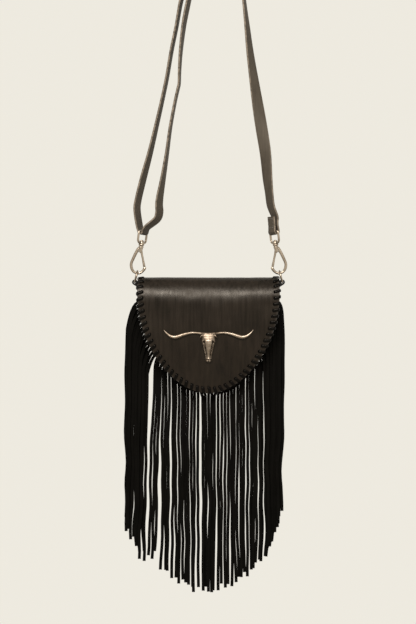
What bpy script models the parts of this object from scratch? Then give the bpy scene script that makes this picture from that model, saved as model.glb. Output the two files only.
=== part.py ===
"""Fringed suede flap bag on a leather shoulder strap, hung from the strap.

Metres, +Z up, front toward -Y. The origin is the hang point under the strap's apex.
Sizes of the bag itself are written in the bag's own frame (see at_bag).
"""
import math

import bmesh
import bpy
from mathutils import Vector

GAP = 0.0003

# Where the bag hangs below the hang point.
BAG_X = -0.011
BAG_Z = -0.5968
SEAM_PLANE = 0.0086

# Leather sheets.
FLAP_THICK = 0.0018
PANEL_THICK = 0.0016
HEADING_THICK = 0.0012

# Flap: a broad roll off the top, then a hanging tongue.
FLAP_HALF = 0.0883
FLAP_TOP_NIP = 0.0014
FLAP_STRAIGHT = 0.020
FLAP_DROP = 0.1442
ROLL_REACH = 0.022
ROLL_DROP = 0.034
TUCK_BACK = 0.011
EDGE_DOME = 0.002
FOLD_Y = 0.005

# Body panels, cut a little smaller than the flap.
BODY_INSET = 0.0023
BODY_HALF = FLAP_HALF - BODY_INSET
BODY_DROP = FLAP_DROP - 0.0027
BODY_BACK = 0.0118
FOLD_RADIUS = 0.005
MOUTH_DEPTH = 0.024
BELLY = 0.019

# Lacing round the flap.
LACE_PITCH = 0.008
LACE_INSET = 0.0068
LACE_WIDE = 0.0030
LACE_THICK = 0.0010
LACE_START = 0.004

# Fringe.
FRINGE_START = 0.027
HEADING_WIDE = 0.0075
STRAND_PITCH = 0.0046
STRAND_WIDE = 0.0031
STRAND_THICK = 0.001
STRAND_LONG = 0.250
LAYER_STEP = 0.0015
PUSH_TOP = 0.0105
PUSH_LOW = 0.0060

# Snap clasps and rings, measured outward from the bag's middle; the hooks hang over the flap's edges.
BELLY_X = FLAP_HALF
BELLY_Z = 0.00505
NECK_X = BELLY_X - 0.0043
NECK_Z = 0.0399
HOOK_WIRE = 0.0016
GATE_WIRE = 0.0014
COLLAR_TALL = 0.005
COLLAR_OUT = 0.0036
SHANK = 0.0015
POST_HEAD = 0.0029
POST_HEAD_TALL = 0.0018
EYE_WIRE = 0.0013
EYE_RISE = 0.0176
EYE_TURN = math.radians(60)
PIVOT_X = BELLY_X - 0.0042
PIVOT_Z = 0.0335
GATE_LONG = 0.0208
PIN = 0.0008
RING_RADIUS = 0.0072
RING_WIRE = 0.0011
RING_LEAN = math.radians(14)
TAB_THICK = 0.0026
TAB_HALF = 0.0034
TAB_LONG = 0.0195

# Strap.
STRAP_WIDE = 0.015
STRAP_THICK = 0.0026
PEG = 0.018
SLIDER_BAR = 0.0012
SLIDER_STEP = 0.013
SLIDER_HALF = 0.0104
SLIDER_X = -0.026
SLIDER_Z = -0.175
SLIDER_LEAN = 0.12

# Ornament.
SCREW_HEAD = 0.004
SCREW_SHANK = 0.0015
HORN_HALF = 0.0557
BROW_DEPTH = 0.0702
SCREW_DEPTHS = (BROW_DEPTH + HORN_HALF * 0.11, BROW_DEPTH + HORN_HALF * 0.35)


def at_bag(x, y, z):
    return Vector((x + BAG_X, y - SEAM_PLANE, z + BAG_Z))


def clear_scene():
    for old in list(bpy.data.objects):
        bpy.data.objects.remove(old, do_unlink=True)


def leather(name, color, roughness):
    return surface(name, color, 0.0, roughness)


def surface(name, color, metallic, roughness):
    mat = bpy.data.materials.new(name)
    mat.use_nodes = True
    shader = mat.node_tree.nodes["Principled BSDF"]
    shader.inputs["Base Color"].default_value = (*color, 1.0)
    shader.inputs["Metallic"].default_value = metallic
    shader.inputs["Roughness"].default_value = roughness
    return mat


def solid(name, verts, faces, mat, origin=None):
    """Closed mesh object; the origin sits on the joint axis where one is given."""
    origin = origin or Vector((0.0, 0.0, 0.0))
    mesh = bpy.data.meshes.new(name)
    mesh.from_pydata([tuple(Vector(v) - origin) for v in verts], [], faces)
    shape = bmesh.new()
    shape.from_mesh(mesh)
    bmesh.ops.recalc_face_normals(shape, faces=shape.faces[:])
    if shape.calc_volume(signed=True) < 0:
        bmesh.ops.reverse_faces(shape, faces=shape.faces[:])
    shape.to_mesh(mesh)
    shape.free()
    thing = bpy.data.objects.new(name, mesh)
    thing.location = origin
    bpy.context.scene.collection.objects.link(thing)
    if mat:
        mesh.materials.append(mat)
    return thing


def combine(target, tool, operation):
    tool.hide_render = True
    tool.display_type = "WIRE"
    step = target.modifiers.new(operation.title(), "BOOLEAN")
    step.operation = operation
    step.solver = "EXACT"
    step.object = tool


def ring_faces(rings, size, closed):
    faces = []
    count = len(rings)
    for i in range(count if closed else count - 1):
        a = i * size
        b = ((i + 1) % count) * size
        for k in range(size):
            n = (k + 1) % size
            faces.append((a + k, a + n, b + n, b + k))
    if not closed:
        faces.append(tuple(range(size))[::-1])
        faces.append(tuple((count - 1) * size + k for k in range(size)))
    return faces


def skin(name, rings, mat, closed=False, origin=None):
    verts = [v for ring in rings for v in ring]
    return solid(name, verts, ring_faces(rings, len(rings[0]), closed), mat, origin)


def tube_rings(path, radii, sides, up, closed=False):
    """Round rings along a path that lies in a plane normal to up, mitred at the bends."""
    rings = []
    count = len(path)
    for i, point in enumerate(path):
        before = path[(i - 1) % count] if closed or i else point
        after = path[(i + 1) % count] if closed or i < count - 1 else point
        into = (point - before).normalized() if before != point else (after - point).normalized()
        out = (after - point).normalized() if after != point else into
        along = (into + out).normalized()
        side = up.cross(along).normalized()
        stretch = 1.0 / max(0.5, along.dot(into))
        radius = radii[i] if isinstance(radii, (list, tuple)) else radii
        ring = []
        for k in range(sides):
            a = 2 * math.pi * (k + 0.5) / sides
            ring.append(point + side * radius * math.cos(a) * stretch + up * radius * math.sin(a))
        rings.append(ring)
    return rings


def sheet_solid(name, front, back, mat, origin=None):
    """Solid between two grids of points that share their rows and columns."""
    rows = len(front)
    cols = len(front[0])
    verts = [p for row in front for p in row] + [p for row in back for p in row]
    shift = rows * cols
    faces = []
    for r in range(rows - 1):
        for c in range(cols - 1):
            a = r * cols + c
            quad = (a, a + 1, a + cols + 1, a + cols)
            faces.append(quad)
            faces.append(tuple(shift + v for v in reversed(quad)))
    rim = [c for c in range(cols)]
    rim += [r * cols + cols - 1 for r in range(1, rows)]
    rim += [(rows - 1) * cols + c for c in range(cols - 2, -1, -1)]
    rim += [r * cols for r in range(rows - 2, 0, -1)]
    for i, a in enumerate(rim):
        b = rim[(i + 1) % len(rim)]
        faces.append((a, b, shift + b, shift + a))
    return solid(name, verts, faces, mat, origin)


def tongue_half(depth, half, drop):
    """Half width of the U shape at a depth below the top line."""
    if depth <= FLAP_STRAIGHT:
        return half
    t = min(1.0, (depth - FLAP_STRAIGHT) / (drop - FLAP_STRAIGHT))
    return half * max(0.0, 1 - t ** 1.9) ** (1 / 1.85)


def tongue_level(x, depth, half, drop):
    """0 in the middle of the U shape, 1 on its edge."""
    across = (abs(x) / half) ** 1.85
    down = max(0.0, (depth - FLAP_STRAIGHT) / (drop - FLAP_STRAIGHT)) ** 1.9
    return (across + down) ** (1 / 1.87)


def flap_half(depth):
    ease = min(1.0, depth / 0.012)
    ease = ease * ease * (3 - 2 * ease)
    if depth < FLAP_STRAIGHT:
        return FLAP_HALF - FLAP_TOP_NIP * (1 - ease)
    return tongue_half(depth, FLAP_HALF, FLAP_DROP)


def flap_line(s):
    """Outer profile of the flap: s in 0..1 over the roll, then 1..2 down the tongue."""
    if s <= 1.0:
        a = s * math.pi / 2
        y = FOLD_Y - ROLL_REACH * math.sin(a)
        depth = ROLL_DROP * (1 - math.cos(a))
        return y, depth
    t = s - 1.0
    depth = ROLL_DROP + t * (FLAP_DROP - ROLL_DROP)
    return FOLD_Y - ROLL_REACH + TUCK_BACK * t * t, depth


def flap_depth_to_s(depth):
    if depth < ROLL_DROP:
        return math.acos(1 - depth / ROLL_DROP) / (math.pi / 2)
    return 1.0 + (depth - ROLL_DROP) / (FLAP_DROP - ROLL_DROP)


def flap_point(x, s):
    y, depth = flap_line(s)
    ease = min(1.0, depth / ROLL_DROP)
    y += EDGE_DOME * (abs(x) / FLAP_HALF) ** 3 * ease * ease
    return at_bag(x, y, -depth)


def flap_normal(x, s):
    step = 0.002
    down = flap_point(x, min(2.0, s + step)) - flap_point(x, max(0.0, s - step))
    across = flap_point(x + step, s) - flap_point(x - step, s)
    return down.cross(across).normalized()


def on_flap(x, depth, height):
    s = flap_depth_to_s(depth)
    return flap_point(x, s) + flap_normal(x, s) * height


def flap_edge():
    """Edge of the flap from the left end of the fold, round the U, to the right end."""
    steps = [i / 40 for i in range(41)] + [1 + i / 60 for i in range(1, 58)]
    tail = [1 + (57 + i * 0.3) / 60 for i in range(1, 10)]
    right = [(flap_half(flap_line(s)[1]), s) for s in steps + tail]
    floor = [(right[-1][0] * k / 3, right[-1][1]) for k in (2, 1)]
    left = [(-x, s) for x, s in right]
    return left + [(-x, s) for x, s in floor] + [(0.0, right[-1][1])] + floor[::-1] + right[::-1]


def edge_stations(edge, pitch, start):
    """Evenly spaced (x, s, tangent) places along the flap's edge."""
    points = [flap_point(x, s) for x, s in edge]
    run = [0.0]
    for a, b in zip(points, points[1:]):
        run.append(run[-1] + (b - a).length)
    count = int((run[-1] - 2 * start) / pitch)
    first = (run[-1] - count * pitch) / 2
    places = []
    for i in range(2 * count + 1):
        want = first + i * pitch / 2
        k = max(j for j in range(len(run) - 1) if run[j] <= want)
        f = (want - run[k]) / (run[k + 1] - run[k])
        x = edge[k][0] + f * (edge[k + 1][0] - edge[k][0])
        s = edge[k][1] + f * (edge[k + 1][1] - edge[k][1])
        ahead = points[min(k + 3, len(points) - 1)]
        places.append((points[k].lerp(points[k + 1], f), x, s, (ahead - points[max(0, k - 2)]).normalized()))
    return places


def lace_places():
    """Whole and half steps of the lacing: edge point, tangent, normal and inward direction."""
    places = []
    for point, x, s, along in edge_stations(flap_edge(), LACE_PITCH, LACE_START):
        out = flap_normal(x, s)
        along = (along - out * along.dot(out)).normalized()
        inward = out.cross(along).normalized()
        middle = at_bag(0, 0, -0.06)
        if inward.dot(middle - point) < 0:
            inward = -inward
        places.append((point - out * FLAP_THICK / 2, along, out, inward))
    return places


def make_flap(mats):
    fine = [0, 0.16, 0.3, 0.42, 0.54, 0.66, 0.78, 0.9]
    fine += [1 + t for t in (0, 0.12, 0.24, 0.36, 0.47, 0.57, 0.66, 0.74, 0.81, 0.87, 0.92, 0.955, 0.98, 0.995)]
    columns = [i / 7 for i in range(-7, 8)]
    front = []
    back = []
    for s in fine:
        half = flap_half(flap_line(s)[1])
        row = [(half * c, s) for c in columns]
        front.append([flap_point(x, s) for x, s in row])
        back.append([flap_point(x, s) - flap_normal(x, s) * FLAP_THICK for x, s in row])
    for k in range(len(columns)):
        front[0][k] = at_bag(front[0][k].x - BAG_X, FOLD_Y, 0.0)
        back[0][k] = at_bag(front[0][k].x - BAG_X, FOLD_Y, -FLAP_THICK)
    flap = sheet_solid("flap", front, back, mats["suede"], flap_hinge())
    combine(flap, lace_holes(), "DIFFERENCE")
    combine(flap, screw_holes(), "DIFFERENCE")
    return flap


def flap_hinge():
    return at_bag(0, FOLD_Y + GAP / 2, 0)


def lace_holes():
    verts = []
    faces = []
    for point, along, out, inward in lace_places()[::2]:
        hole = point + inward * LACE_INSET
        base = len(verts)
        for h in (-0.003, 0.003):
            for a, b in ((-1, -1), (1, -1), (1, 1), (-1, 1)):
                corner = hole + along * a * (LACE_WIDE / 2 + GAP) + inward * b * (LACE_THICK / 2 + GAP)
                verts.append(corner + out * h)
        faces += [tuple(base + k for k in face) for face in (
            (0, 1, 2, 3), (7, 6, 5, 4), (0, 4, 5, 1), (1, 5, 6, 2), (2, 6, 7, 3), (3, 7, 4, 0))]
    return solid("lace_hole_tool", verts, faces, None)


def screw_rings(depth, spans, sides=10):
    """Round rings about the flap normal at a depth: spans are (height, radius)."""
    s = flap_depth_to_s(depth)
    base = flap_point(0, s)
    out = flap_normal(0, s)
    side = Vector((1, 0, 0))
    up = side.cross(out).normalized()
    rings = []
    for height, radius in spans:
        middle = base + out * height
        turns = [2 * math.pi * k / sides for k in range(sides)]
        rings.append([middle + (side * math.cos(a) + up * math.sin(a)) * radius for a in turns])
    return rings


def screw_holes():
    verts = []
    faces = []
    for depth in SCREW_DEPTHS:
        rings = screw_rings(depth, [(-0.004, SCREW_SHANK + GAP), (0.004, SCREW_SHANK + GAP)])
        base = len(verts)
        verts += [v for ring in rings for v in ring]
        faces += [tuple(base + k for k in face) for face in ring_faces(rings, len(rings[0]), False)]
    return solid("screw_hole_tool", verts, faces, None)


def lace_path():
    """One lace whipped round the edge: out of a hole, over the edge, behind to the next hole."""
    places = lace_places()
    lift = FLAP_THICK / 2 + GAP * 1.7 + LACE_THICK / 2
    reach = GAP + LACE_THICK / 2
    path = []
    for i in range(0, len(places), 2):
        point, along, out, inward = places[i]
        hole = point + inward * LACE_INSET
        if i:
            path.append((hole - out * lift, along))
        else:
            path.append((hole - out * (FLAP_THICK / 2 - 0.0002), along))
        path.append((hole + out * lift, along))
        if i == len(places) - 1:
            edge = point - inward * (-0.0004)
            path.append((edge + out * lift, along))
            break
        edge = point - inward * reach + along * LACE_PITCH * 0.15
        path.append((edge + out * lift, along))
        path.append((edge - out * lift + along * LACE_PITCH * 0.1, along))
    return path


def make_lacing(mats):
    path = lace_path()
    rings = []
    for i, (point, along) in enumerate(path):
        into = point - path[i - 1][0] if i else path[1][0] - point
        onto = path[i + 1][0] - point if i < len(path) - 1 else into
        into = (into - along * into.dot(along)).normalized()
        onto = (onto - along * onto.dot(along)).normalized()
        first = along.cross(into)
        across = (first + along.cross(onto)).normalized()
        thick = LACE_THICK / 2 / max(0.6, across.dot(first))
        wide = LACE_WIDE / 2
        rings.append([
            point + along * wide + across * thick, point - along * wide + across * thick,
            point - along * wide - across * thick, point + along * wide - across * thick])
    return skin("flap_lacing", rings, mats["lace"], origin=flap_hinge())


def make_back_panel(mats):
    inner = FOLD_RADIUS - PANEL_THICK
    centre_y = BODY_BACK - FOLD_RADIUS
    rows = [(FOLD_Y + GAP, 0.0, FOLD_Y + GAP, PANEL_THICK)]
    for k in range(7):
        a = math.pi / 2 * (1 - k / 6)
        cos, sin = math.cos(a), math.sin(a)
        rows.append((centre_y + FOLD_RADIUS * cos, FOLD_RADIUS * (1 - sin),
                     centre_y + inner * cos, FOLD_RADIUS - inner * sin))
    span = BODY_DROP - FOLD_RADIUS
    for t in (0.12, 0.3, 0.45, 0.58, 0.7, 0.8, 0.88, 0.94, 0.975, 0.995):
        depth = FOLD_RADIUS + span * t
        rows.append((BODY_BACK, depth, BODY_BACK - PANEL_THICK, depth))
    columns = [i / 4 for i in range(-4, 5)]
    outer = []
    inside = []
    for y, depth, y_in, depth_in in rows:
        half = tongue_half(depth, BODY_HALF, BODY_DROP)
        outer.append([at_bag(half * c, y, -depth) for c in columns])
        inside.append([at_bag(half * c, y_in, -depth_in) for c in columns])
    return sheet_solid("back_panel", outer, inside, mats["suede"], swing_axis())


def swing_axis():
    return at_bag(0, SEAM_PLANE, BELLY_Z)


def make_front_panel(mats):
    seam = BODY_BACK - PANEL_THICK - GAP - HEADING_THICK - GAP - PANEL_THICK
    columns = [math.sin(math.pi / 2 * i / 9) for i in range(-9, 10)]
    span = BODY_DROP - MOUTH_DEPTH
    front = []
    back = []
    for t in (0, 0.12, 0.25, 0.38, 0.5, 0.61, 0.7, 0.78, 0.85, 0.9, 0.94, 0.97, 0.995):
        depth = MOUTH_DEPTH + span * t
        half = tongue_half(depth, BODY_HALF, BODY_DROP)
        near = []
        far = []
        for c in columns:
            level = min(1.0, tongue_level(half * c, depth, BODY_HALF, BODY_DROP) / 0.92)
            y = seam - BELLY * (1 - level ** 3)
            near.append(at_bag(half * c, y, -depth))
            far.append(at_bag(half * c, y + PANEL_THICK, -depth))
        front.append(near)
        back.append(far)
    return sheet_solid("front_panel", front, back, mats["suede"], swing_axis())


def body_edge():
    """Right half of the body's U edge as (x, depth), from the fringe's start to the middle."""
    points = []
    for i in range(161):
        t = i / 160
        depth = FRINGE_START + (BODY_DROP - FRINGE_START) * math.sin(t * math.pi / 2)
        points.append((tongue_half(depth, BODY_HALF, BODY_DROP), depth))
    points[-1] = (0.0, BODY_DROP)
    return points


def edge_at(points, run, want):
    k = max(j for j in range(len(run) - 1) if run[j] <= max(0.0, want))
    f = (want - run[k]) / (run[k + 1] - run[k])
    a, b = points[k], points[k + 1]
    length = math.hypot(b[0] - a[0], b[1] - a[1])
    along = ((b[0] - a[0]) / length, (b[1] - a[1]) / length)
    return a[0] + f * (b[0] - a[0]), a[1] + f * (b[1] - a[1]), along


def smooth_turns(i, rate, shift):
    return math.sin(i * rate + shift)


def strand_rings(start, outward, index, from_side, half_count):
    """Rings of one strand that leaves the seam outward and falls straight down."""
    x0, z0 = start
    rank = abs(index) / half_count
    side = 1 if index > 0 else -1
    push = PUSH_TOP * max(0.0, (rank - 0.42) / 0.58) ** 1.3 * (1.0 if side < 0 else 0.62)
    layer = LAYER_STEP / 2 * (1 if index % 2 else -1) * min(1.0, from_side)
    fall = 0.004 + push * 1.7
    drift = PUSH_LOW * push / PUSH_TOP
    length = STRAND_LONG + 0.003 * smooth_turns(index, 2.7, 0.4)
    length += (0.022 if side < 0 else 0.0095) * rank * rank
    x1 = x0 + side * (push + 0.0012)
    control = (x0 + outward[0] * (push * 0.8 + 0.0012), z0 + outward[1] * (push * 0.5 + 0.002))
    end = (x1, z0 - fall)
    rings = []
    steps = 5
    for k in range(1, steps + 1):
        t = k / steps
        a, b, c = (1 - t) ** 2, 2 * t * (1 - t), t * t
        x = a * x0 + b * control[0] + c * end[0]
        z = a * z0 + b * control[1] + c * end[1]
        dx = (1 - t) * (control[0] - x0) + t * (end[0] - control[0])
        dz = (1 - t) * (control[1] - z0) + t * (end[1] - control[1])
        size = math.hypot(dx, dz)
        y = layer * min(1.0, t * 2.2)
        rings.append((x, z, y, dx / size, dz / size))
    for part in (0.3, 0.65, 1.0):
        z = end[1] + (z0 - length - end[1]) * part
        sway = 0.0004 * smooth_turns(index, 1.7, 2 * part)
        rings.append((end[0] + sway + side * drift * min(1.0, part * 2), z, layer, 0.0, -1.0))
    return rings


def make_fringe(mats):
    points = body_edge()
    run = [0.0]
    for a, b in zip(points, points[1:]):
        run.append(run[-1] + math.hypot(b[0] - a[0], b[1] - a[1]))
    half_count = int((run[-1] - STRAND_WIDE) / STRAND_PITCH)
    middle_y = BODY_BACK - PANEL_THICK - GAP - HEADING_THICK / 2
    verts = []
    faces = []
    stations = []
    for index in range(-half_count, half_count + 1):
        for part in (-1, 1):
            distance = index * STRAND_PITCH + part * STRAND_WIDE / 2
            side = 1 if distance > 0 else -1
            x, depth, along = edge_at(points, run, run[-1] - abs(distance))
            inward = (-along[1], along[0])
            if inward[0] > 0 or (abs(inward[0]) < 1e-6 and inward[1] > 0):
                inward = (-inward[0], -inward[1])
            stations.append((side * x, -depth, side * inward[0], -inward[1]))
    for x, z, in_x, in_z in stations:
        for y in (-HEADING_THICK / 2, HEADING_THICK / 2):
            verts.append(at_bag(x + in_x * HEADING_WIDE, middle_y + y, z + in_z * HEADING_WIDE))
            verts.append(at_bag(x, middle_y + y, z))
    for i in range(len(stations) - 1):
        a, b = 4 * i, 4 * i + 4
        faces += [(a, a + 1, b + 1, b), (a + 2, b + 2, b + 3, a + 3), (a, b, b + 2, a + 2)]
        if i % 2:
            faces.append((a + 1, a + 3, b + 3, b + 1))
    last = 4 * (len(stations) - 1)
    faces += [(0, 2, 3, 1), (last, last + 1, last + 3, last + 2)]
    for order, index in enumerate(range(-half_count, half_count + 1)):
        a, b = 8 * order, 8 * order + 4
        left, right = stations[2 * order], stations[2 * order + 1]
        start = ((left[0] + right[0]) / 2, (left[1] + right[1]) / 2)
        outward = (-(left[2] + right[2]) / 2, -(left[3] + right[3]) / 2)
        from_side = 4.0 * max(0.0, abs(index) / half_count - 0.3)
        previous = [a + 1, b + 1, b + 3, a + 3]
        for x, z, y, dx, dz in strand_rings(start, outward, index, from_side, half_count):
            wide = STRAND_WIDE / 2
            thick = STRAND_THICK / 2
            base = len(verts)
            for across, through in ((-1, -1), (1, -1), (1, 1), (-1, 1)):
                corner_x = x - dz * across * wide
                corner_z = z + dx * across * wide
                verts.append(at_bag(corner_x, middle_y + y + through * thick, corner_z))
            ring = [base, base + 1, base + 2, base + 3]
            for k in range(4):
                n = (k + 1) % 4
                faces.append((previous[k], previous[n], ring[n], ring[k]))
            previous = ring
        faces.append(tuple(previous))
    return solid("fringe", verts, faces, mats["fringe"], swing_axis())


def ring_top(side):
    lift = HOOK_WIRE + GAP + RING_WIRE
    return at_bag(side * (BELLY_X + 0.0004), SEAM_PLANE, BELLY_Z + lift)


def make_ring(side, mats):
    down = Vector((side * math.sin(RING_LEAN), 0, -math.cos(RING_LEAN)))
    centre = ring_top(side) + down * RING_RADIUS
    across = Vector((0, 1, 0))
    turns = [2 * math.pi * k / 28 for k in range(28)]
    path = [centre + (down * math.cos(a) + across * math.sin(a)) * RING_RADIUS for a in turns]
    rings = tube_rings(path, RING_WIRE, 8, down.cross(across).normalized(), closed=True)
    return skin("ring_" + word(side), rings, mats["nickel"], closed=True, origin=swing_axis())


def word(side):
    return "right" if side > 0 else "left"


def make_ring_tab(side, mats):
    """Doubled leather tab with a punched hole, sewn inside the back panel's top corner."""
    down = Vector((side * math.sin(RING_LEAN), 0, -math.cos(RING_LEAN)))
    hole = ring_top(side) + down * RING_RADIUS * 2
    along = Vector((-side * 0.83, 0, -0.558)).normalized()
    across = Vector((0, 1, 0)).cross(along).normalized()
    outline = []
    for k in range(9):
        a = math.pi / 2 + math.pi * k / 8
        outline.append(hole + along * math.cos(a) * TAB_HALF + across * math.sin(a) * TAB_HALF)
    outline.append(hole + along * TAB_LONG - across * TAB_HALF)
    outline.append(hole + along * TAB_LONG + across * TAB_HALF)
    front = BODY_BACK - PANEL_THICK - GAP - TAB_THICK - SEAM_PLANE
    rings = [[Vector((p.x, y, p.z)) for p in outline] for y in (front, front + TAB_THICK)]
    tab = skin("ring_tab_" + word(side), rings, mats["suede"], origin=swing_axis())
    turns = [2 * math.pi * k / 16 for k in range(16)]
    bore = RING_WIRE + GAP * 1.6
    round_ = [hole + along * math.cos(a) * bore + across * math.sin(a) * bore for a in turns]
    tool = [[Vector((p.x, y, p.z)) for p in round_] for y in (front - 0.002, front + TAB_THICK + 0.002)]
    combine(tab, skin("tab_hole_tool_" + word(side), tool, None), "DIFFERENCE")
    return tab


def clasp_axis(side):
    """Swivel axis: the neck point and the direction up along the clasp."""
    neck = at_bag(side * NECK_X, SEAM_PLANE, NECK_Z)
    belly = at_bag(side * BELLY_X, SEAM_PLANE, BELLY_Z)
    return neck, (neck - belly).normalized()


def turned(side, spans, sides=16):
    neck, up = clasp_axis(side)
    across = Vector((0, 1, 0))
    other = up.cross(across).normalized()
    turns = [2 * math.pi * k / sides for k in range(sides)]
    return [[neck + up * w + (across * math.cos(a) + other * math.sin(a)) * r for a in turns]
            for w, r in spans]


def make_hook(side, mats):
    """Hook with its swivel post, a fork for the gate and the wire bent round to the nose."""
    head = COLLAR_TALL - 0.0005 + GAP
    post = turned(side, [
        (head + POST_HEAD_TALL, POST_HEAD * 0.6), (head + POST_HEAD_TALL * 0.6, POST_HEAD), (head, POST_HEAD),
        (head, SHANK), (-0.0005 - GAP, SHANK), (-0.0005 - GAP, 0.0029), (-0.0026, 0.0031), (-0.0085, 0.0026)])
    hook = skin("hook_" + word(side), post, mats["nickel"], origin=clasp_axis(side)[0])
    bend = [(-0.0031, 0.0375), (-0.0003, 0.0352), (0.0032, 0.0290), (0.0061, 0.0228), (0.0081, 0.0180),
            (0.0083, 0.0140), (0.0071, 0.0098), (0.0045, 0.0067), (0.0, BELLY_Z),
            (-0.0041, 0.0063), (-0.0072, 0.0092)]
    path = [at_bag(side * (BELLY_X + out), SEAM_PLANE, z) for out, z in bend]
    pivot = at_bag(side * PIVOT_X, SEAM_PLANE, PIVOT_Z)
    shut = gate_direction(side)
    path.append(pivot + shut * (GATE_LONG + GAP + 0.0012))
    path.append(pivot + shut * (GATE_LONG + GAP))
    radii = [HOOK_WIRE] * (len(path) - 2) + [GATE_WIRE, GATE_WIRE]
    wire = skin("hook_wire_tool_" + word(side), tube_rings(path, radii, 10, Vector((0, 1, 0))), None)
    combine(hook, wire, "UNION")
    slot = [at_bag(side * (PIVOT_X + out), SEAM_PLANE, PIVOT_Z + up) for out, up in (
        (-0.0051, 0.0037), (0.0031, 0.0037), (0.0031, -0.0065), (-0.0051, -0.0065))]
    half = GATE_WIRE + GAP
    rings = [[p + Vector((0, y, 0)) for p in slot] for y in (-half, half)]
    combine(hook, skin("hook_slot_tool_" + word(side), rings, None), "DIFFERENCE")
    rings = round_bar(pivot, PIN + GAP / 2, 0.006, 12)
    combine(hook, skin("hook_pin_tool_" + word(side), rings, None), "DIFFERENCE")
    return hook


def round_bar(middle, radius, half, sides):
    turns = [2 * math.pi * k / sides for k in range(sides)]
    return [[middle + Vector((math.cos(a) * radius, y, math.sin(a) * radius)) for a in turns]
            for y in (-half, half)]


def gate_direction(side):
    """From the gate's pivot to the hook's nose."""
    pivot = at_bag(side * PIVOT_X, SEAM_PLANE, PIVOT_Z)
    nose = at_bag(side * (PIVOT_X - 0.0040), SEAM_PLANE, 0.0130)
    return (nose - pivot).normalized()


def make_gate(side, mats):
    pivot = at_bag(side * PIVOT_X, SEAM_PLANE, PIVOT_Z)
    shut = gate_direction(side)
    path = [pivot - shut * 0.0012, pivot + shut * 0.0030, pivot + shut * GATE_LONG * 0.6, pivot + shut * GATE_LONG]
    rings = tube_rings(path, [GATE_WIRE * 1.25, GATE_WIRE * 1.25, GATE_WIRE, GATE_WIRE], 10, Vector((0, 1, 0)))
    for ring in rings:
        for corner in ring:
            corner.y = max(-GATE_WIRE, min(GATE_WIRE, corner.y))
    gate = skin("gate_" + word(side), rings, mats["nickel"], origin=pivot)
    bore = round_bar(pivot, PIN + GAP / 2, 0.004, 12)
    combine(gate, skin("gate_pin_tool_" + word(side), bore, None), "DIFFERENCE")
    return gate


def make_gate_pin(side, mats):
    pivot = at_bag(side * PIVOT_X, SEAM_PLANE, PIVOT_Z)
    return skin("gate_pin_" + word(side), round_bar(pivot, PIN, 0.0027, 12), mats["nickel"],
                origin=clasp_axis(side)[0])


def eye_frame(side):
    neck, up = clasp_axis(side)
    across = Vector((math.cos(EYE_TURN), -side * math.sin(EYE_TURN), 0))
    across = (across - up * across.dot(up)).normalized()
    return neck, up, across


def make_eye(side, mats):
    """Strap eye: a drilled collar with a rounded loop above it, turned edge-on to the front."""
    neck, up, across = eye_frame(side)
    low = -0.0005
    top = low + COLLAR_TALL
    spans = [(low, COLLAR_OUT * 0.85), (low + 0.0012, COLLAR_OUT), (top - 0.0012, COLLAR_OUT), (top, COLLAR_OUT * 0.8)]
    eye = skin("swivel_eye_" + word(side), turned(side, spans), mats["nickel"])
    half = STRAP_WIDE / 2 + 0.0004 + EYE_WIRE
    bend = [(0.0026, 0.0026), (half - 0.0034, 0.0034), (half - 0.0010, 0.0048), (half, 0.0074),
            (half, EYE_RISE - 0.0026), (half - 0.0008, EYE_RISE - 0.0008), (half - 0.0026, EYE_RISE)]
    path = [neck + across * u + up * w for u, w in bend]
    path += [neck - across * u + up * w for u, w in reversed(bend)]
    flat = across.cross(up).normalized()
    wire = skin("eye_wire_tool_" + word(side), tube_rings(path, EYE_WIRE, 10, flat), None)
    combine(eye, wire, "UNION")
    bore = turned(side, [(low - 0.002, SHANK + GAP), (top + 0.001, SHANK + GAP)])
    combine(eye, skin("eye_bore_tool_" + word(side), bore, None), "DIFFERENCE")
    return eye


def eye_bar(side):
    neck, up, across = eye_frame(side)
    return neck + up * EYE_RISE, across


def loop_round(bar, across, start, swing, radius, steps=8):
    """Points round a bar through its underside: start is the side the strap comes from."""
    points = []
    for k in range(steps + 1):
        a = math.pi * k / steps
        points.append(bar + start * radius * math.cos(a) + swing * radius * math.sin(a))
    return [(p, across) for p in points]


def level_turn(degrees):
    a = math.radians(degrees)
    return Vector((math.cos(a), math.sin(a), 0))


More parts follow.
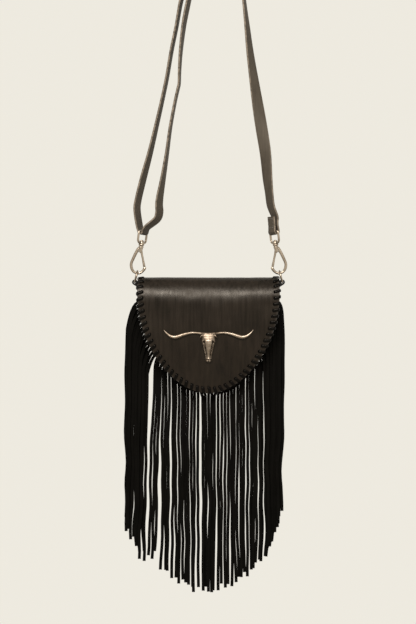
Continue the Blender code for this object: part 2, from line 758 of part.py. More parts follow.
def strap_path():
    """Centre line and width direction, from the sewn right end over the top to the slider end."""
    round_bar_radius = EYE_WIRE + GAP + STRAP_THICK / 2
    lie = STRAP_THICK / 2 + GAP / 2
    down = Vector((0, 0, -1))
    right, wide = eye_bar(1)
    front = Vector((-math.sin(EYE_TURN), -math.cos(EYE_TURN), 0))
    path = [(right + front * (lie + out) - down * h, wide) for out, h in (
        (0.0026, 0.0185), (0.0021, 0.0130), (0.0016, 0.0080), (0.0014, 0.0045))]
    path += loop_round(right, wide, front, down, round_bar_radius)
    path.append((right - front * (lie + 0.0008) - down * 0.0045, wide))
    path += [(right - front * lie - down * h, wide) for h in (0.0080, 0.0130, 0.0185)]
    climb = [(0.945, -0.5070, -55), (0.915, -0.4900, -52), (0.888, -0.4732, -42), (0.850, -0.4413, -25),
             (0.779, -0.4094, 0), (0.707, -0.3776, 26), (0.639, -0.3457, 44), (0.575, -0.3138, 57),
             (0.525, -0.2819, 68), (0.473, -0.2500, 76)]
    path += [(Vector((right.x * share, 0, z)), level_turn(a)) for share, z, a in climb]
    crown = [(0.0065, -0.1800, 80), (0.0019, -0.1000, 88), (0.0003, -0.0500, 90)]
    path += [(Vector((PEG + STRAP_THICK / 2 + out, 0, z)), level_turn(a)) for out, z, a in crown]
    for k in range(13):
        a = math.pi * k / 12
        reach = PEG + STRAP_THICK / 2
        path.append((Vector((reach * math.cos(a), 0, -PEG + reach * math.sin(a))), level_turn(90)))
    fall = [(0.0004, -0.0500, 88), (0.0019, -0.1000, 84), (0.0039, -0.1400, 80)]
    path += [(Vector((-PEG - STRAP_THICK / 2 - out, 0, z)), level_turn(a)) for out, z, a in fall]
    middle, along, out, slide_wide = slider_frame()
    near = SLIDER_BAR + GAP + STRAP_THICK / 2
    loop = SLIDER_BAR * 1.42 + GAP * 1.3 + STRAP_THICK / 2
    over = loop + STRAP_THICK + GAP * 1.3
    for t, n in ((0.0190, -near), (SLIDER_STEP - 0.0018, -near), (0.0015, near), (-0.0015, near),
                 (0.0025 - SLIDER_STEP, over), (-0.0035 - SLIDER_STEP, over + 0.0001), (-0.035, over)):
        path.append((middle + along * t + out * n, slide_wide))
    left, left_wide = eye_bar(-1)
    drop = [(0.404, -0.2300, 74), (0.484, -0.2500, 77), (0.546, -0.2819, 79), (0.616, -0.3138, 79),
            (0.674, -0.3457, 79), (0.746, -0.3776, 78), (0.824, -0.4094, 75), (0.905, -0.4413, 70),
            (0.997, -0.4732, 63), (1.066, -0.5000, 62), (1.080, -0.5130, 60)]
    path += [(Vector((left.x * share, 0, z)), level_turn(a)) for share, z, a in drop]
    back = Vector((-math.sin(EYE_TURN), math.cos(EYE_TURN), 0))
    path.append((left + back * 0.0052 - down * 0.0065, left_wide))
    path += loop_round(left, left_wide, back, down, round_bar_radius)
    path.append((left - back * 0.0060 - down * 0.0050, left_wide))
    rise = [(0.812, -0.5240, 54), (0.780, -0.5150, 54), (0.784, -0.5060, 56), (0.772, -0.4950, 60),
            (0.731, -0.4732, 70), (0.677, -0.4413, 78), (0.631, -0.4094, 81), (0.568, -0.3776, 83),
            (0.529, -0.3616, 83), (0.512, -0.3536, 83), (0.507, -0.3377, 82), (0.491, -0.3138, 79),
            (0.451, -0.2819, 74), (0.398, -0.2560, 72)]
    path += [(Vector((left.x * share, 0, z)), level_turn(a)) for share, z, a in rise]
    bar = middle - along * SLIDER_STEP
    for t in (-0.040, -0.030, -0.020, -0.010):
        path.append((bar + along * t - out * lie, slide_wide))
    path.append((bar - along * 0.0050 - out * (lie + 0.0012), slide_wide))
    path += loop_round(bar, slide_wide, -out, along, loop)
    path.append((bar - along * 0.0050 + out * (lie + 0.0012), slide_wide))
    path += [(bar + along * t + out * lie, slide_wide) for t in (-0.010, -0.016, -0.022)]
    return path


def slider_frame():
    middle = Vector((SLIDER_X, 0, SLIDER_Z))
    along = Vector((SLIDER_LEAN, 0, 1)).normalized()
    wide = level_turn(76)
    wide = (wide - along * wide.dot(along)).normalized()
    out = wide.cross(along).normalized()
    if out.x > 0:
        out = -out
    return middle, along, out, wide


def make_strap(mats):
    path = strap_path()
    rings = []
    edge = STRAP_THICK * 0.28
    for i, (point, wide) in enumerate(path):
        into = (point - path[i - 1][0]).normalized() if i else (path[1][0] - point).normalized()
        onto = (path[i + 1][0] - point).normalized() if i < len(path) - 1 else into
        along = (into + onto).normalized()
        wide = (wide - along * wide.dot(along)).normalized()
        across = wide.cross(along).normalized()
        thick = STRAP_THICK / 2 / max(0.7, along.dot(into))
        half = STRAP_WIDE / 2
        rings.append([point + wide * u + across * v for u, v in (
            (half - edge, thick), (half, 0), (half - edge, -thick),
            (edge - half, -thick), (-half, 0), (edge - half, thick))])
    return skin("shoulder_strap", rings, mats["strap"])


def make_slider(mats):
    middle, along, out, wide = slider_frame()
    bar = SLIDER_BAR
    tall = SLIDER_STEP + bar
    half = SLIDER_HALF

    def block(low_w, high_w, low_t, high_t, deep):
        corners = ((low_w, low_t), (high_w, low_t), (high_w, high_t), (low_w, high_t))
        return [[middle + wide * w + along * t + out * n for w, t in corners] for n in (-deep, deep)]

    slider = skin("slider", block(-half, half, -tall, tall, bar), mats["nickel"])
    inner = half - bar * 2
    for name, low, high in (("upper", bar, SLIDER_STEP - bar), ("lower", -SLIDER_STEP + bar, -bar)):
        tool = skin("slider_tool_" + name, block(-inner, inner, low, high, bar * 3), None)
        combine(slider, tool, "DIFFERENCE")
    return slider


def mapped(rings, name, mat, lift=0.0):
    """Rings written as (x, depth, height) laid over the flap."""
    real = [[on_flap(x, depth, GAP + height + lift) for x, depth, height in ring] for ring in rings]
    return skin(name, real, mat, origin=flap_hinge())


def make_ornament(mats):
    """Longhorn skull: the two horns are one swept bar, the head is lofted over its middle."""
    shares = [(0.0, 0.0, 0.054), (0.144, -0.007, 0.047), (0.287, -0.025, 0.039), (0.404, -0.022, 0.045),
              (0.548, 0.011, 0.063), (0.664, 0.050, 0.074), (0.754, 0.068, 0.072), (0.844, 0.047, 0.060),
              (0.916, -0.004, 0.043), (0.966, -0.054, 0.025), (1.0, -0.101, 0.011)]
    half = [(x * HORN_HALF, BROW_DEPTH + d * HORN_HALF, w * HORN_HALF) for x, d, w in shares]
    line = [(-x, d, w) for x, d, w in reversed(half[1:])] + half
    rings = []
    for i, (x, depth, wide) in enumerate(line):
        a = line[max(0, i - 1)]
        b = line[min(len(line) - 1, i + 1)]
        size = math.hypot(b[0] - a[0], b[1] - a[1])
        nx, nd = -(b[1] - a[1]) / size, (b[0] - a[0]) / size
        tall = 0.0004 + wide * 0.75
        ring = []
        for across, height in ((-1, 0), (-0.8, 0.6), (-0.3, 1), (0.3, 1), (0.8, 0.6), (1, 0)):
            ring.append((x + nx * across * wide / 2, depth + nd * across * wide / 2, height * tall))
        rings.append(ring)
    ornament = mapped(rings, "longhorn_ornament", mats["silver"])
    levels = [(-0.030, 0.125, 0.036), (-0.004, 0.176, 0.072), (0.030, 0.188, 0.088), (0.083, 0.174, 0.097),
              (0.150, 0.158, 0.097), (0.235, 0.140, 0.092), (0.330, 0.116, 0.084), (0.410, 0.092, 0.077),
              (0.480, 0.074, 0.074), (0.530, 0.074, 0.078), (0.580, 0.079, 0.075), (0.612, 0.056, 0.034)]
    rings = []
    for down, wide, tall in levels:
        depth = BROW_DEPTH + down * HORN_HALF
        wide *= HORN_HALF
        tall *= HORN_HALF
        shape = ((-1, 0), (-0.92, 0.55), (-0.55, 0.9), (0, 1), (0.55, 0.9), (0.92, 0.55), (1, 0))
        rings.append([(u * wide, depth, h * tall) for u, h in shape])
    head = mapped(rings, "skull_tool", None)
    combine(ornament, head, "UNION")
    verts = []
    faces = []
    for depth in SCREW_DEPTHS:
        bore = screw_rings(depth, [(-0.001, SCREW_SHANK + GAP), (0.0030, SCREW_SHANK + GAP)])
        base = len(verts)
        verts += [v for ring in bore for v in ring]
        faces += [tuple(base + k for k in face) for face in ring_faces(bore, len(bore[0]), False)]
    combine(ornament, solid("ornament_bore_tool", verts, faces, None), "DIFFERENCE")
    return ornament


def make_screw(name, depth, mats):
    under = -FLAP_THICK - GAP
    spans = [(under - 0.0014, SCREW_HEAD * 0.8), (under - 0.0009, SCREW_HEAD), (under, SCREW_HEAD),
             (under, SCREW_SHANK), (0.0026, SCREW_SHANK)]
    return skin(name, screw_rings(depth, spans), mats["nickel"], origin=flap_hinge())


def build():
    clear_scene()
    mats = {
        "suede": leather("black_leather", (0.022, 0.019, 0.017), 0.62),
        "lace": leather("black_lace", (0.010, 0.010, 0.009), 0.45),
        "fringe": leather("black_fringe", (0.008, 0.008, 0.008), 0.85),
        "strap": leather("strap_leather", (0.100, 0.084, 0.064), 0.60),
        "nickel": surface("nickel", (0.62, 0.57, 0.50), 1.0, 0.25),
        "silver": surface("antique_silver", (0.55, 0.48, 0.42), 1.0, 0.32),
    }
    make_flap(mats)
    make_lacing(mats)
    make_ornament(mats)
    make_screw("ornament_screw_upper", SCREW_DEPTHS[0], mats)
    make_screw("ornament_screw_lower", SCREW_DEPTHS[1], mats)
    make_back_panel(mats)
    make_front_panel(mats)
    make_fringe(mats)
    for side in (-1, 1):
        make_ring(side, mats)
        make_ring_tab(side, mats)
        make_hook(side, mats)
        make_gate(side, mats)
        make_gate_pin(side, mats)
        make_eye(side, mats)
    make_strap(mats)
    make_slider(mats)


build()
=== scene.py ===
import math

import bmesh
import bpy
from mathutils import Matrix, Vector, kdtree, noise


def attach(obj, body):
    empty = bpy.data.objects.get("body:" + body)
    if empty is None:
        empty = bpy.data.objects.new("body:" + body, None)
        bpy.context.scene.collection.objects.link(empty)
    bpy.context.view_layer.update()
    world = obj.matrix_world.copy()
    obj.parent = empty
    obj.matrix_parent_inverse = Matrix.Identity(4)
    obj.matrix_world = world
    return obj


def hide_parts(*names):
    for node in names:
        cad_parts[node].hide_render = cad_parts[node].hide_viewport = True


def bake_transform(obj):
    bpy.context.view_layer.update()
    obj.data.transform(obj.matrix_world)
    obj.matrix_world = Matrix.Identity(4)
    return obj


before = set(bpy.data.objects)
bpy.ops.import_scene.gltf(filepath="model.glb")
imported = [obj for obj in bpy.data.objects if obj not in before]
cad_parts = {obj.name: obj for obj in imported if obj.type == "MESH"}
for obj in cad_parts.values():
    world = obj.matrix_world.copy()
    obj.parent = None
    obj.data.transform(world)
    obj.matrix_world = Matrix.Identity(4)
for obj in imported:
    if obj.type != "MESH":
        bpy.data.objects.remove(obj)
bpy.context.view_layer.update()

print("frame loaded")


# Shared measures of the bag, in metres.
bagPlace = {"x": -0.011, "seam": 0.0086, "z": -0.5968}


def atBag(x, y, z):
    return Vector((x + bagPlace["x"], y - bagPlace["seam"], z + bagPlace["z"]))


def addObject(name, data):
    thing = bpy.data.objects.new(name, data)
    bpy.context.scene.collection.objects.link(thing)
    return thing

# Camera.
cameraSetup = {"distance": 2.5, "frameTall": 0.78, "x": -0.0116, "z": -0.640}


def makeCamera(setup):
    data = bpy.data.cameras.new("studioCamera")
    data.sensor_width = 36.0
    data.lens = 36.0 * setup["distance"] / setup["frameTall"]
    camera = addObject("studioCamera", data)
    camera.location = (setup["x"], -setup["distance"], setup["z"])
    camera.rotation_euler = (math.pi / 2, 0, 0)
    bpy.context.scene.camera = camera


makeCamera(cameraSetup)
bpy.context.scene.view_settings.view_transform = "Standard"
print("camera placed")


# Node helpers.
def addNode(tree, kind, inputs=None, **settings):
    node = tree.nodes.new(kind)
    for key, value in settings.items():
        setattr(node, key, value)
    for key, value in (inputs or {}).items():
        if isinstance(value, bpy.types.NodeSocket):
            tree.links.new(value, node.inputs[key])
        else:
            node.inputs[key].default_value = value
    return node


def mixColours(tree, factor, first, second, blend="MIX"):
    node = addNode(tree, "ShaderNodeMix", {0: factor, 6: first, 7: second}, data_type="RGBA", blend_type=blend)
    return node.outputs[2]


def mapValue(tree, value, low, high, toLow, toHigh):
    node = addNode(tree, "ShaderNodeMapRange", {
        "Value": value, "From Min": low, "From Max": high, "To Min": toLow, "To Max": toHigh})
    return node.outputs["Result"]


def mathNode(tree, operation, first, second=0.0):
    return addNode(tree, "ShaderNodeMath", {0: first, 1: second}, operation=operation).outputs[0]

def vectorNode(tree, operation, first, second):
    return addNode(tree, "ShaderNodeVectorMath", {0: first, 1: second}, operation=operation).outputs[0]


def newGroup(name, inputs, outputs):
    tree = bpy.data.node_groups.new(name, "ShaderNodeTree")
    for label, kind, value in inputs:
        socket = tree.interface.new_socket(label, in_out="INPUT", socket_type=kind)
        if value is not None:
            socket.default_value = value
    for label, kind in outputs:
        tree.interface.new_socket(label, in_out="OUTPUT", socket_type=kind)
    return tree, tree.nodes.new("NodeGroupInput").outputs, tree.nodes.new("NodeGroupOutput").inputs


def stretched(tree, vector, scale):
    return addNode(tree, "ShaderNodeMapping", {"Vector": vector, "Scale": scale}).outputs[0]


def noiseNode(tree, vector, scale, detail=4.0, roughness=0.6):
    return addNode(tree, "ShaderNodeTexNoise", {
        "Vector": vector, "Scale": scale, "Detail": detail, "Roughness": roughness}).outputs["Fac"]


# Shader groups used by more than one finish.
def makeNapGroup():
    tree, given, made = newGroup("suedeNap", [
        ("Vector", "NodeSocketVector", None), ("Nap Scale", "NodeSocketFloat", 1500.0),
        ("Streak Scale", "NodeSocketFloat", 700.0), ("Blotch Scale", "NodeSocketFloat", 28.0),
        ("Streak", "NodeSocketFloat", 0.5)], [("Tone", "NodeSocketFloat"), ("Height", "NodeSocketFloat")])
    nap = noiseNode(tree, given["Vector"], given["Nap Scale"], 5.0, 0.65)
    drawn = stretched(tree, given["Vector"], (1.0, 1.0, 0.07))
    streak = noiseNode(tree, drawn, given["Streak Scale"], 4.0, 0.6)
    blotch = noiseNode(tree, given["Vector"], given["Blotch Scale"], 3.0, 0.5)
    fine = mathNode(tree, "MULTIPLY", streak, given["Streak"])
    rest = mathNode(tree, "MULTIPLY", nap, mathNode(tree, "SUBTRACT", 1.0, given["Streak"]))
    height = mathNode(tree, "ADD", fine, rest)
    tone = mathNode(tree, "ADD", mathNode(tree, "MULTIPLY", height, 0.6), mathNode(tree, "MULTIPLY", blotch, 0.4))
    tree.links.new(mapValue(tree, tone, 0.36, 0.64, 0.0, 1.0), made["Tone"])
    tree.links.new(height, made["Height"])
    return tree


def makeWearAndShadeGroup():
    # edge wear on leather; on metal the same mix paints the dark of hollows, part patina, part painted shade
    tree, given, made = newGroup("edgeWear", [
        ("Vector", "NodeSocketVector", None), ("Edge", "NodeSocketFloat", 0.0),
        ("Breakup", "NodeSocketFloat", 260.0), ("Colour", "NodeSocketColor", (0.02, 0.02, 0.02, 1)),
        ("Worn Colour", "NodeSocketColor", (0.1, 0.09, 0.08, 1))], [
            ("Colour", "NodeSocketColor"), ("Mask", "NodeSocketFloat")])
    spots = noiseNode(tree, given["Vector"], given["Breakup"], 4.0, 0.7)
    broken = mathNode(tree, "MULTIPLY", given["Edge"], mapValue(tree, spots, 0.35, 0.62, 0.0, 1.0))
    tree.links.new(mixColours(tree, broken, given["Colour"], given["Worn Colour"]), made["Colour"])
    tree.links.new(broken, made["Mask"])
    return tree


def makeSmudgeGroup():
    tree, given, made = newGroup("handledMetal", [
        ("Vector", "NodeSocketVector", None), ("Smudge Scale", "NodeSocketFloat", 90.0),
        ("Scratch Scale", "NodeSocketFloat", 900.0), ("Low", "NodeSocketFloat", 0.2),
        ("High", "NodeSocketFloat", 0.38)], [
            ("Roughness", "NodeSocketFloat"), ("Tone", "NodeSocketFloat"), ("Height", "NodeSocketFloat")])
    smudge = noiseNode(tree, given["Vector"], given["Smudge Scale"], 5.0, 0.6)
    drawn = stretched(tree, given["Vector"], (1.0, 0.3, 0.12))
    scratch = noiseNode(tree, drawn, given["Scratch Scale"], 3.0, 0.6)
    both = mathNode(tree, "ADD", mathNode(tree, "MULTIPLY", smudge, 0.7), mathNode(tree, "MULTIPLY", scratch, 0.3))
    tree.links.new(mapValue(tree, both, 0.35, 0.65, given["Low"], given["High"]), made["Roughness"])
    tree.links.new(mapValue(tree, smudge, 0.35, 0.65, 0.0, 1.0), made["Tone"])
    tree.links.new(both, made["Height"])
    return tree


napGroup = makeNapGroup()
wearAndShadeGroup = makeWearAndShadeGroup()
smudgeGroup = makeSmudgeGroup()


def startMaterial(name, principled):
    material = bpy.data.materials.new(name)
    material.use_nodes = True
    tree = material.node_tree
    shader = tree.nodes["Principled BSDF"]
    for key, value in principled.items():
        shader.inputs[key].default_value = value
    vector = addNode(tree, "ShaderNodeTexCoord").outputs["Object"]
    return material, tree, shader, vector


def useGroup(tree, group, inputs):
    return addNode(tree, "ShaderNodeGroup", inputs, node_tree=group).outputs


def bumpInto(tree, shader, height, strength, distance):
    bump = addNode(tree, "ShaderNodeBump", {"Height": height, "Strength": strength, "Distance": distance})
    tree.links.new(bump.outputs[0], shader.inputs["Normal"])


def suedeFinish(name, dark, light, worn, rough, streak, bump=0.35, gloss=0.2, streakScale=700.0):
    material, tree, shader, vector = startMaterial(name, {
        "Specular IOR Level": gloss, "Specular Tint": (1.0, 0.89, 0.77, 1.0)})
    nap = useGroup(tree, napGroup, {"Vector": vector, "Streak": streak, "Streak Scale": streakScale})
    edge = addNode(tree, "ShaderNodeAttribute", attribute_name="edge").outputs["Fac"]
    base = mixColours(tree, nap["Tone"], (*dark, 1), (*light, 1))
    rubbed = useGroup(tree, wearAndShadeGroup, {"Vector": vector, "Edge": edge, "Colour": base, "Worn Colour": (*worn, 1)})
    tree.links.new(rubbed["Colour"], shader.inputs["Base Color"])
    tree.links.new(mapValue(tree, nap["Tone"], 0.0, 1.0, rough[0], rough[1]), shader.inputs["Roughness"])
    bumpInto(tree, shader, nap["Height"], bump, 0.0006)
    return material


def metalFinish(name, clean, dull, recess, low, high, bump=0.05):
    material, tree, shader, vector = startMaterial(name, {"Metallic": 1.0})
    hand = useGroup(tree, smudgeGroup, {"Vector": vector, "Low": low, "High": high})
    # the recess attribute darkens hollows in the colour: patina, and on the ornament also painted shade on the low
    # relief
    pit = addNode(tree, "ShaderNodeAttribute", attribute_name="recess").outputs["Fac"]
    base = mixColours(tree, hand["Tone"], (*clean, 1), (*dull, 1))
    hollowDarkened = useGroup(tree, wearAndShadeGroup, {
        "Vector": vector, "Edge": mathNode(tree, "MULTIPLY", pit, 1.7), "Breakup": 700.0, "Colour": base,
        "Worn Colour": (*recess, 1)})
    tree.links.new(hollowDarkened["Colour"], shader.inputs["Base Color"])
    darker = mathNode(tree, "ADD", hand["Roughness"], mathNode(tree, "MULTIPLY", hollowDarkened["Mask"], 0.3))
    tree.links.new(darker, shader.inputs["Roughness"])
    bumpInto(tree, shader, hand["Height"], bump, 0.0003)
    return material


def threadFinish(name, dark, light):
    material, tree, shader, vector = startMaterial(name, {"Sheen Weight": 0.2, "Specular IOR Level": 0.4})
    ply = addNode(tree, "ShaderNodeTexWave", {
        "Vector": vector, "Scale": 900.0, "Distortion": 1.5, "Detail": 2.0}, bands_direction="DIAGONAL").outputs["Fac"]
    tree.links.new(mixColours(tree, ply, (*dark, 1), (*light, 1)), shader.inputs["Base Color"])
    tree.links.new(mapValue(tree, ply, 0.0, 1.0, 0.75, 0.5), shader.inputs["Roughness"])
    bumpInto(tree, shader, ply, 0.4, 0.0002)
    return material


finishes = {
    "hide": suedeFinish("blackHide", (0.0030, 0.0018, 0.0009), (0.0115, 0.0074, 0.0044), (0.040, 0.033, 0.027),
                        (0.25, 0.43), 0.88, bump=0.6, gloss=0.22, streakScale=280.0),
    "panel": suedeFinish("blackPanel", (0.005, 0.0044, 0.0038), (0.014, 0.012, 0.0105), (0.035, 0.030, 0.026),
                         (0.55, 0.72), 0.5, gloss=0.15),
    "fringe": suedeFinish("fringeSuede", (0.0008, 0.0008, 0.0007), (0.0046, 0.0041, 0.0034), (0.012, 0.011, 0.010),
                          (0.55, 0.80), 0.6, gloss=0.03),
    "lace": suedeFinish("glossyLace", (0.0006, 0.0006, 0.0005), (0.0026, 0.0023, 0.0019), (0.020, 0.018, 0.016),
                        (0.20, 0.34), 0.6, bump=0.2, gloss=0.07),
    "strap": suedeFinish("taupeStrap", (0.043, 0.034, 0.025), (0.086, 0.070, 0.051), (0.25, 0.20, 0.15),
                         (0.50, 0.66), 0.6, bump=0.35, gloss=0.2),
    "nickel": metalFinish("warmNickel", (0.41, 0.343, 0.271), (0.225, 0.18, 0.137), (0.045, 0.03, 0.022), 0.20, 0.38),
    "silver": metalFinish("antiqueSilver", (0.375, 0.304, 0.237), (0.175, 0.132, 0.094), (0.018, 0.011, 0.007),
                          0.30, 0.48, bump=0.15),
    "blackThread": threadFinish("blackThread", (0.006, 0.006, 0.006), (0.022, 0.020, 0.018)),
    "taupeThread": threadFinish("taupeThread", (0.06, 0.048, 0.035), (0.14, 0.115, 0.088)),
}
print("finishes made")


# Mesh helpers.
def fullTurn(count, start=0.0):
    return [2 * math.pi * (k + start) / count for k in range(count)]

def makePiece(name, verts, faces, material, attributes=None, smoothAngle=40.0):
    mesh = bpy.data.meshes.new(name)
    mesh.from_pydata([tuple(v) for v in verts], [], faces)
    shape = bmesh.new()
    shape.from_mesh(mesh)
    bmesh.ops.recalc_face_normals(shape, faces=shape.faces[:])
    if shape.calc_volume(signed=True) < 0:
        bmesh.ops.reverse_faces(shape, faces=shape.faces[:])
    shape.to_mesh(mesh)
    shape.free()
    for label, values in (attributes or {}).items():
        mesh.attributes.new(label, "FLOAT", "POINT").data.foreach_set("value", values)
    if material:
        mesh.materials.append(material)
    smoothOver(mesh, smoothAngle)
    return addObject(name, mesh)


def smoothOver(mesh, angle):
    mesh.shade_smooth()
    mesh.set_sharp_from_angle(angle=math.radians(angle))


def bakeModifiers(thing, name=None):
    bpy.context.view_layer.update()
    graph = bpy.context.evaluated_depsgraph_get()
    mesh = bpy.data.meshes.new_from_object(thing.evaluated_get(graph))
    if name is None:
        thing.modifiers.clear()
        thing.data = mesh
        return thing
    made = addObject(name, mesh)
    bpy.data.objects.remove(thing, do_unlink=True)
    return made


def ringFaces(count, size, closed=False, shift=0):
    faces = []
    for i in range(count if closed else count - 1):
        a = shift + i * size
        b = shift + ((i + 1) % count) * size
        for k in range(size):
            n = (k + 1) % size
            faces.append((a + k, a + n, b + n, b + k))
    if not closed:
        faces.append(tuple(shift + k for k in range(size))[::-1])
        faces.append(tuple(shift + (count - 1) * size + k for k in range(size)))
    return faces


class Parts:
    # gathers several closed shells into one list of points and faces
    def __init__(self):
        self.verts = []
        self.faces = []

    def addRings(self, rings, closed=False):
        self.faces += ringFaces(len(rings), len(rings[0]), closed, len(self.verts))
        self.verts += [p for ring in rings for p in ring]
        return self


def smoothRun(points, steps, closed=False):
    # smooth curve through the points; also works on lists of numbers
    out = []
    count = len(points)
    last = count if closed else count - 1
    for i in range(last):
        p0 = points[i - 1] if closed or i else points[0]
        p1, p2 = points[i], points[(i + 1) % count]
        p3 = points[(i + 2) % count] if closed or i + 2 < count else p2
        for k in range(steps):
            t = k / steps
            out.append((p1 * 2 + (p2 - p0) * t + (p0 * 2 - p1 * 5 + p2 * 4 - p3) * t * t
                        + (p1 * 3 - p0 - p2 * 3 + p3) * t * t * t) * 0.5)
    if not closed:
        out.append(points[-1])
    return out


def tubeRings(path, radii, sides, up, closed=False, roundEnds=False):
    rings = []
    count = len(path)
    for i, point in enumerate(path):
        before = path[(i - 1) % count] if closed or i else path[0]
        after = path[(i + 1) % count] if closed or i < count - 1 else path[-1]
        along = (after - before).normalized()
        side = up.cross(along).normalized()
        level = along.cross(side).normalized()
        radius = radii[i] if isinstance(radii, (list, tuple)) else radii
        rings.append([point + (side * math.cos(a) + level * math.sin(a)) * radius for a in fullTurn(sides)])
    if roundEnds and not closed:
        for atStart in (True, False):
            ring = rings[0] if atStart else rings[-1]
            centre = path[0] if atStart else path[-1]
            inner = path[1] if atStart else path[-2]
            out = (centre - inner).normalized()
            radius = (ring[0] - centre).length
            for a in (30, 60, 82):
                cos, sin = math.cos(math.radians(a)), math.sin(math.radians(a))
                extra = [centre + (p - centre) * cos + out * radius * sin for p in ring]
                if atStart:
                    rings.insert(0, extra)
                else:
                    rings.append(extra)
    return rings


def cutAway(thing, parts, material=None):
    # takes the closed shells in parts out of a piece
    tool = makePiece(thing.name + "Cutter", parts.verts, parts.faces, material)
    cut = thing.modifiers.new("Cut", "BOOLEAN")
    cut.operation = "DIFFERENCE"
    cut.solver = "EXACT"
    cut.object = tool
    bakeModifiers(thing)
    bpy.data.objects.remove(tool, do_unlink=True)

def fuse(name, parts, voxel, rounds, material, cutters=None):
    # melts overlapping shells into one casting with soft inner corners
    thing = makePiece(name, parts.verts, parts.faces, material)
    step = thing.modifiers.new("Melt", "REMESH")
    step.mode = "VOXEL"
    step.voxel_size = voxel
    soft = thing.modifiers.new("Soften", "SMOOTH")
    soft.factor = 0.5
    soft.iterations = rounds
    bakeModifiers(thing)
    if cutters:
        cutAway(thing, cutters)
    if not thing.data.materials:
        thing.data.materials.append(material)
    smoothOver(thing.data, 50.0)
    markRecess(thing.data, voxel)
    return thing


def markRecess(mesh, size, rounds=3):
    # writes how hollow each point is, from its neighbours
    shape = bmesh.new()
    shape.from_mesh(mesh)
    shape.verts.ensure_lookup_table()
    shape.normal_update()
    hollow = []
    for v in shape.verts:
        around = [e.other_vert(v).co for e in v.link_edges]
        middle = sum(around, Vector()) / len(around)
        hollow.append((middle - v.co).dot(v.normal) / size)
    links = [[e.other_vert(v).index for e in v.link_edges] for v in shape.verts]
    for _ in range(rounds):
        hollow = [(hollow[i] + sum(hollow[j] for j in near)) / (1 + len(near)) for i, near in enumerate(links)]
    shape.free()
    values = [max(0.0, min(1.0, h * 14.0)) for h in hollow]
    old = mesh.attributes.get("recess") or mesh.attributes.new("recess", "FLOAT", "POINT")
    old.data.foreach_set("value", values)


# Geometry node trees.
def newTree(name, inputs):
    tree = bpy.data.node_groups.new(name, "GeometryNodeTree")
    tree.interface.new_socket("Geometry", in_out="INPUT", socket_type="NodeSocketGeometry")
    for label, kind, value in inputs:
        socket = tree.interface.new_socket(label, in_out="INPUT", socket_type=kind)
        if value is not None:
            socket.default_value = value
    tree.interface.new_socket("Geometry", in_out="OUTPUT", socket_type="NodeSocketGeometry")
    return tree, tree.nodes.new("NodeGroupInput").outputs, tree.nodes.new("NodeGroupOutput").inputs


def named(tree, label, kind="FLOAT_VECTOR"):
    return addNode(tree, "GeometryNodeInputNamedAttribute", {"Name": label}, data_type=kind).outputs[0]

def randomNode(tree, low, high, seed):
    return addNode(tree, "FunctionNodeRandomValue", {2: low, 3: high, "Seed": seed}, data_type="FLOAT").outputs[1]


def makeSewnTree():
    # puts one stitch on every guide point, turned by the point's own directions
    tree, given, made = newTree("sewnRun", [
        ("Stitch", "NodeSocketObject", None), ("Finish", "NodeSocketMaterial", None),
        ("Turn", "NodeSocketFloat", 0.06), ("Size Spread", "NodeSocketFloat", 0.05), ("Seed", "NodeSocketInt", 3)])
    stitch = addNode(tree, "GeometryNodeObjectInfo", {"Object": given["Stitch"]}, transform_space="ORIGINAL")
    aim = addNode(tree, "FunctionNodeAxesToRotation", {
        "Primary Axis": named(tree, "out"), "Secondary Axis": named(tree, "along")},
        primary_axis="Z", secondary_axis="X").outputs[0]
    turn = randomNode(tree, mathNode(tree, "MULTIPLY", given["Turn"], -1.0), given["Turn"], given["Seed"])
    pack = addNode(tree, "ShaderNodeCombineXYZ", {"Z": turn}).outputs[0]
    spin = addNode(tree, "FunctionNodeEulerToRotation", {0: pack}).outputs[0]
    aimed = addNode(tree, "FunctionNodeRotateRotation", {0: aim, 1: spin}, rotation_space="LOCAL").outputs[0]
    small = mathNode(tree, "SUBTRACT", 1.0, given["Size Spread"])
    large = mathNode(tree, "ADD", 1.0, given["Size Spread"])
    size = randomNode(tree, small, large, mathNode(tree, "ADD", given["Seed"], 11.0))
    placed = addNode(tree, "GeometryNodeInstanceOnPoints", {
        "Points": given["Geometry"], "Instance": stitch.outputs["Geometry"], "Rotation": aimed,
        "Scale": size})
    real = addNode(tree, "GeometryNodeRealizeInstances", {"Geometry": placed.outputs[0]})
    dressed = addNode(tree, "GeometryNodeSetMaterial", {"Geometry": real.outputs[0], "Material": given["Finish"]})
    tree.links.new(dressed.outputs[0], made[0])
    return tree


def runTree(guide, tree, values, name):
    step = guide.modifiers.new(tree.name, "NODES")
    step.node_group = tree
    for item in tree.interface.items_tree:
        if item.in_out == "INPUT" and item.name in values:
            step[item.identifier] = values[item.name]
    made = bakeModifiers(guide, name)
    print(name, len(made.data.vertices), "points")
    return made


def guidePoints(name, places):
    # places are (point, along, out)
    mesh = bpy.data.meshes.new(name)
    mesh.from_pydata([tuple(p) for p, _, _ in places], [], [])
    for label, column in (("along", 1), ("out", 2)):
        data = mesh.attributes.new(label, "FLOAT_VECTOR", "POINT").data
        data.foreach_set("vector", [c for place in places for c in place[column]])
    return addObject(name, mesh)


sewnTree = makeSewnTree()


# Thread stitches.
threadStitch = {"pitch": 0.0042, "long": 0.0030, "radius": 0.00032, "rise": 0.00038}


def makeStitchTemplate(setup):
    rings = []
    half = setup["long"] / 2
    for u in (-1.0, -0.9, -0.5, 0.0, 0.5, 0.9, 1.0):
        z = setup["rise"] * (1 - u * u) ** 0.5 - 0.0001 if abs(u) < 1 else -0.0003
        radius = setup["radius"] * (0.6 if abs(u) == 1 else 1.0)
        rings.append([Vector((u * half, radius * math.cos(a), z + radius * math.sin(a)))
                      for a in fullTurn(6)])
    parts = Parts().addRings(rings)
    return makePiece("stitchTemplate", parts.verts, parts.faces, None)


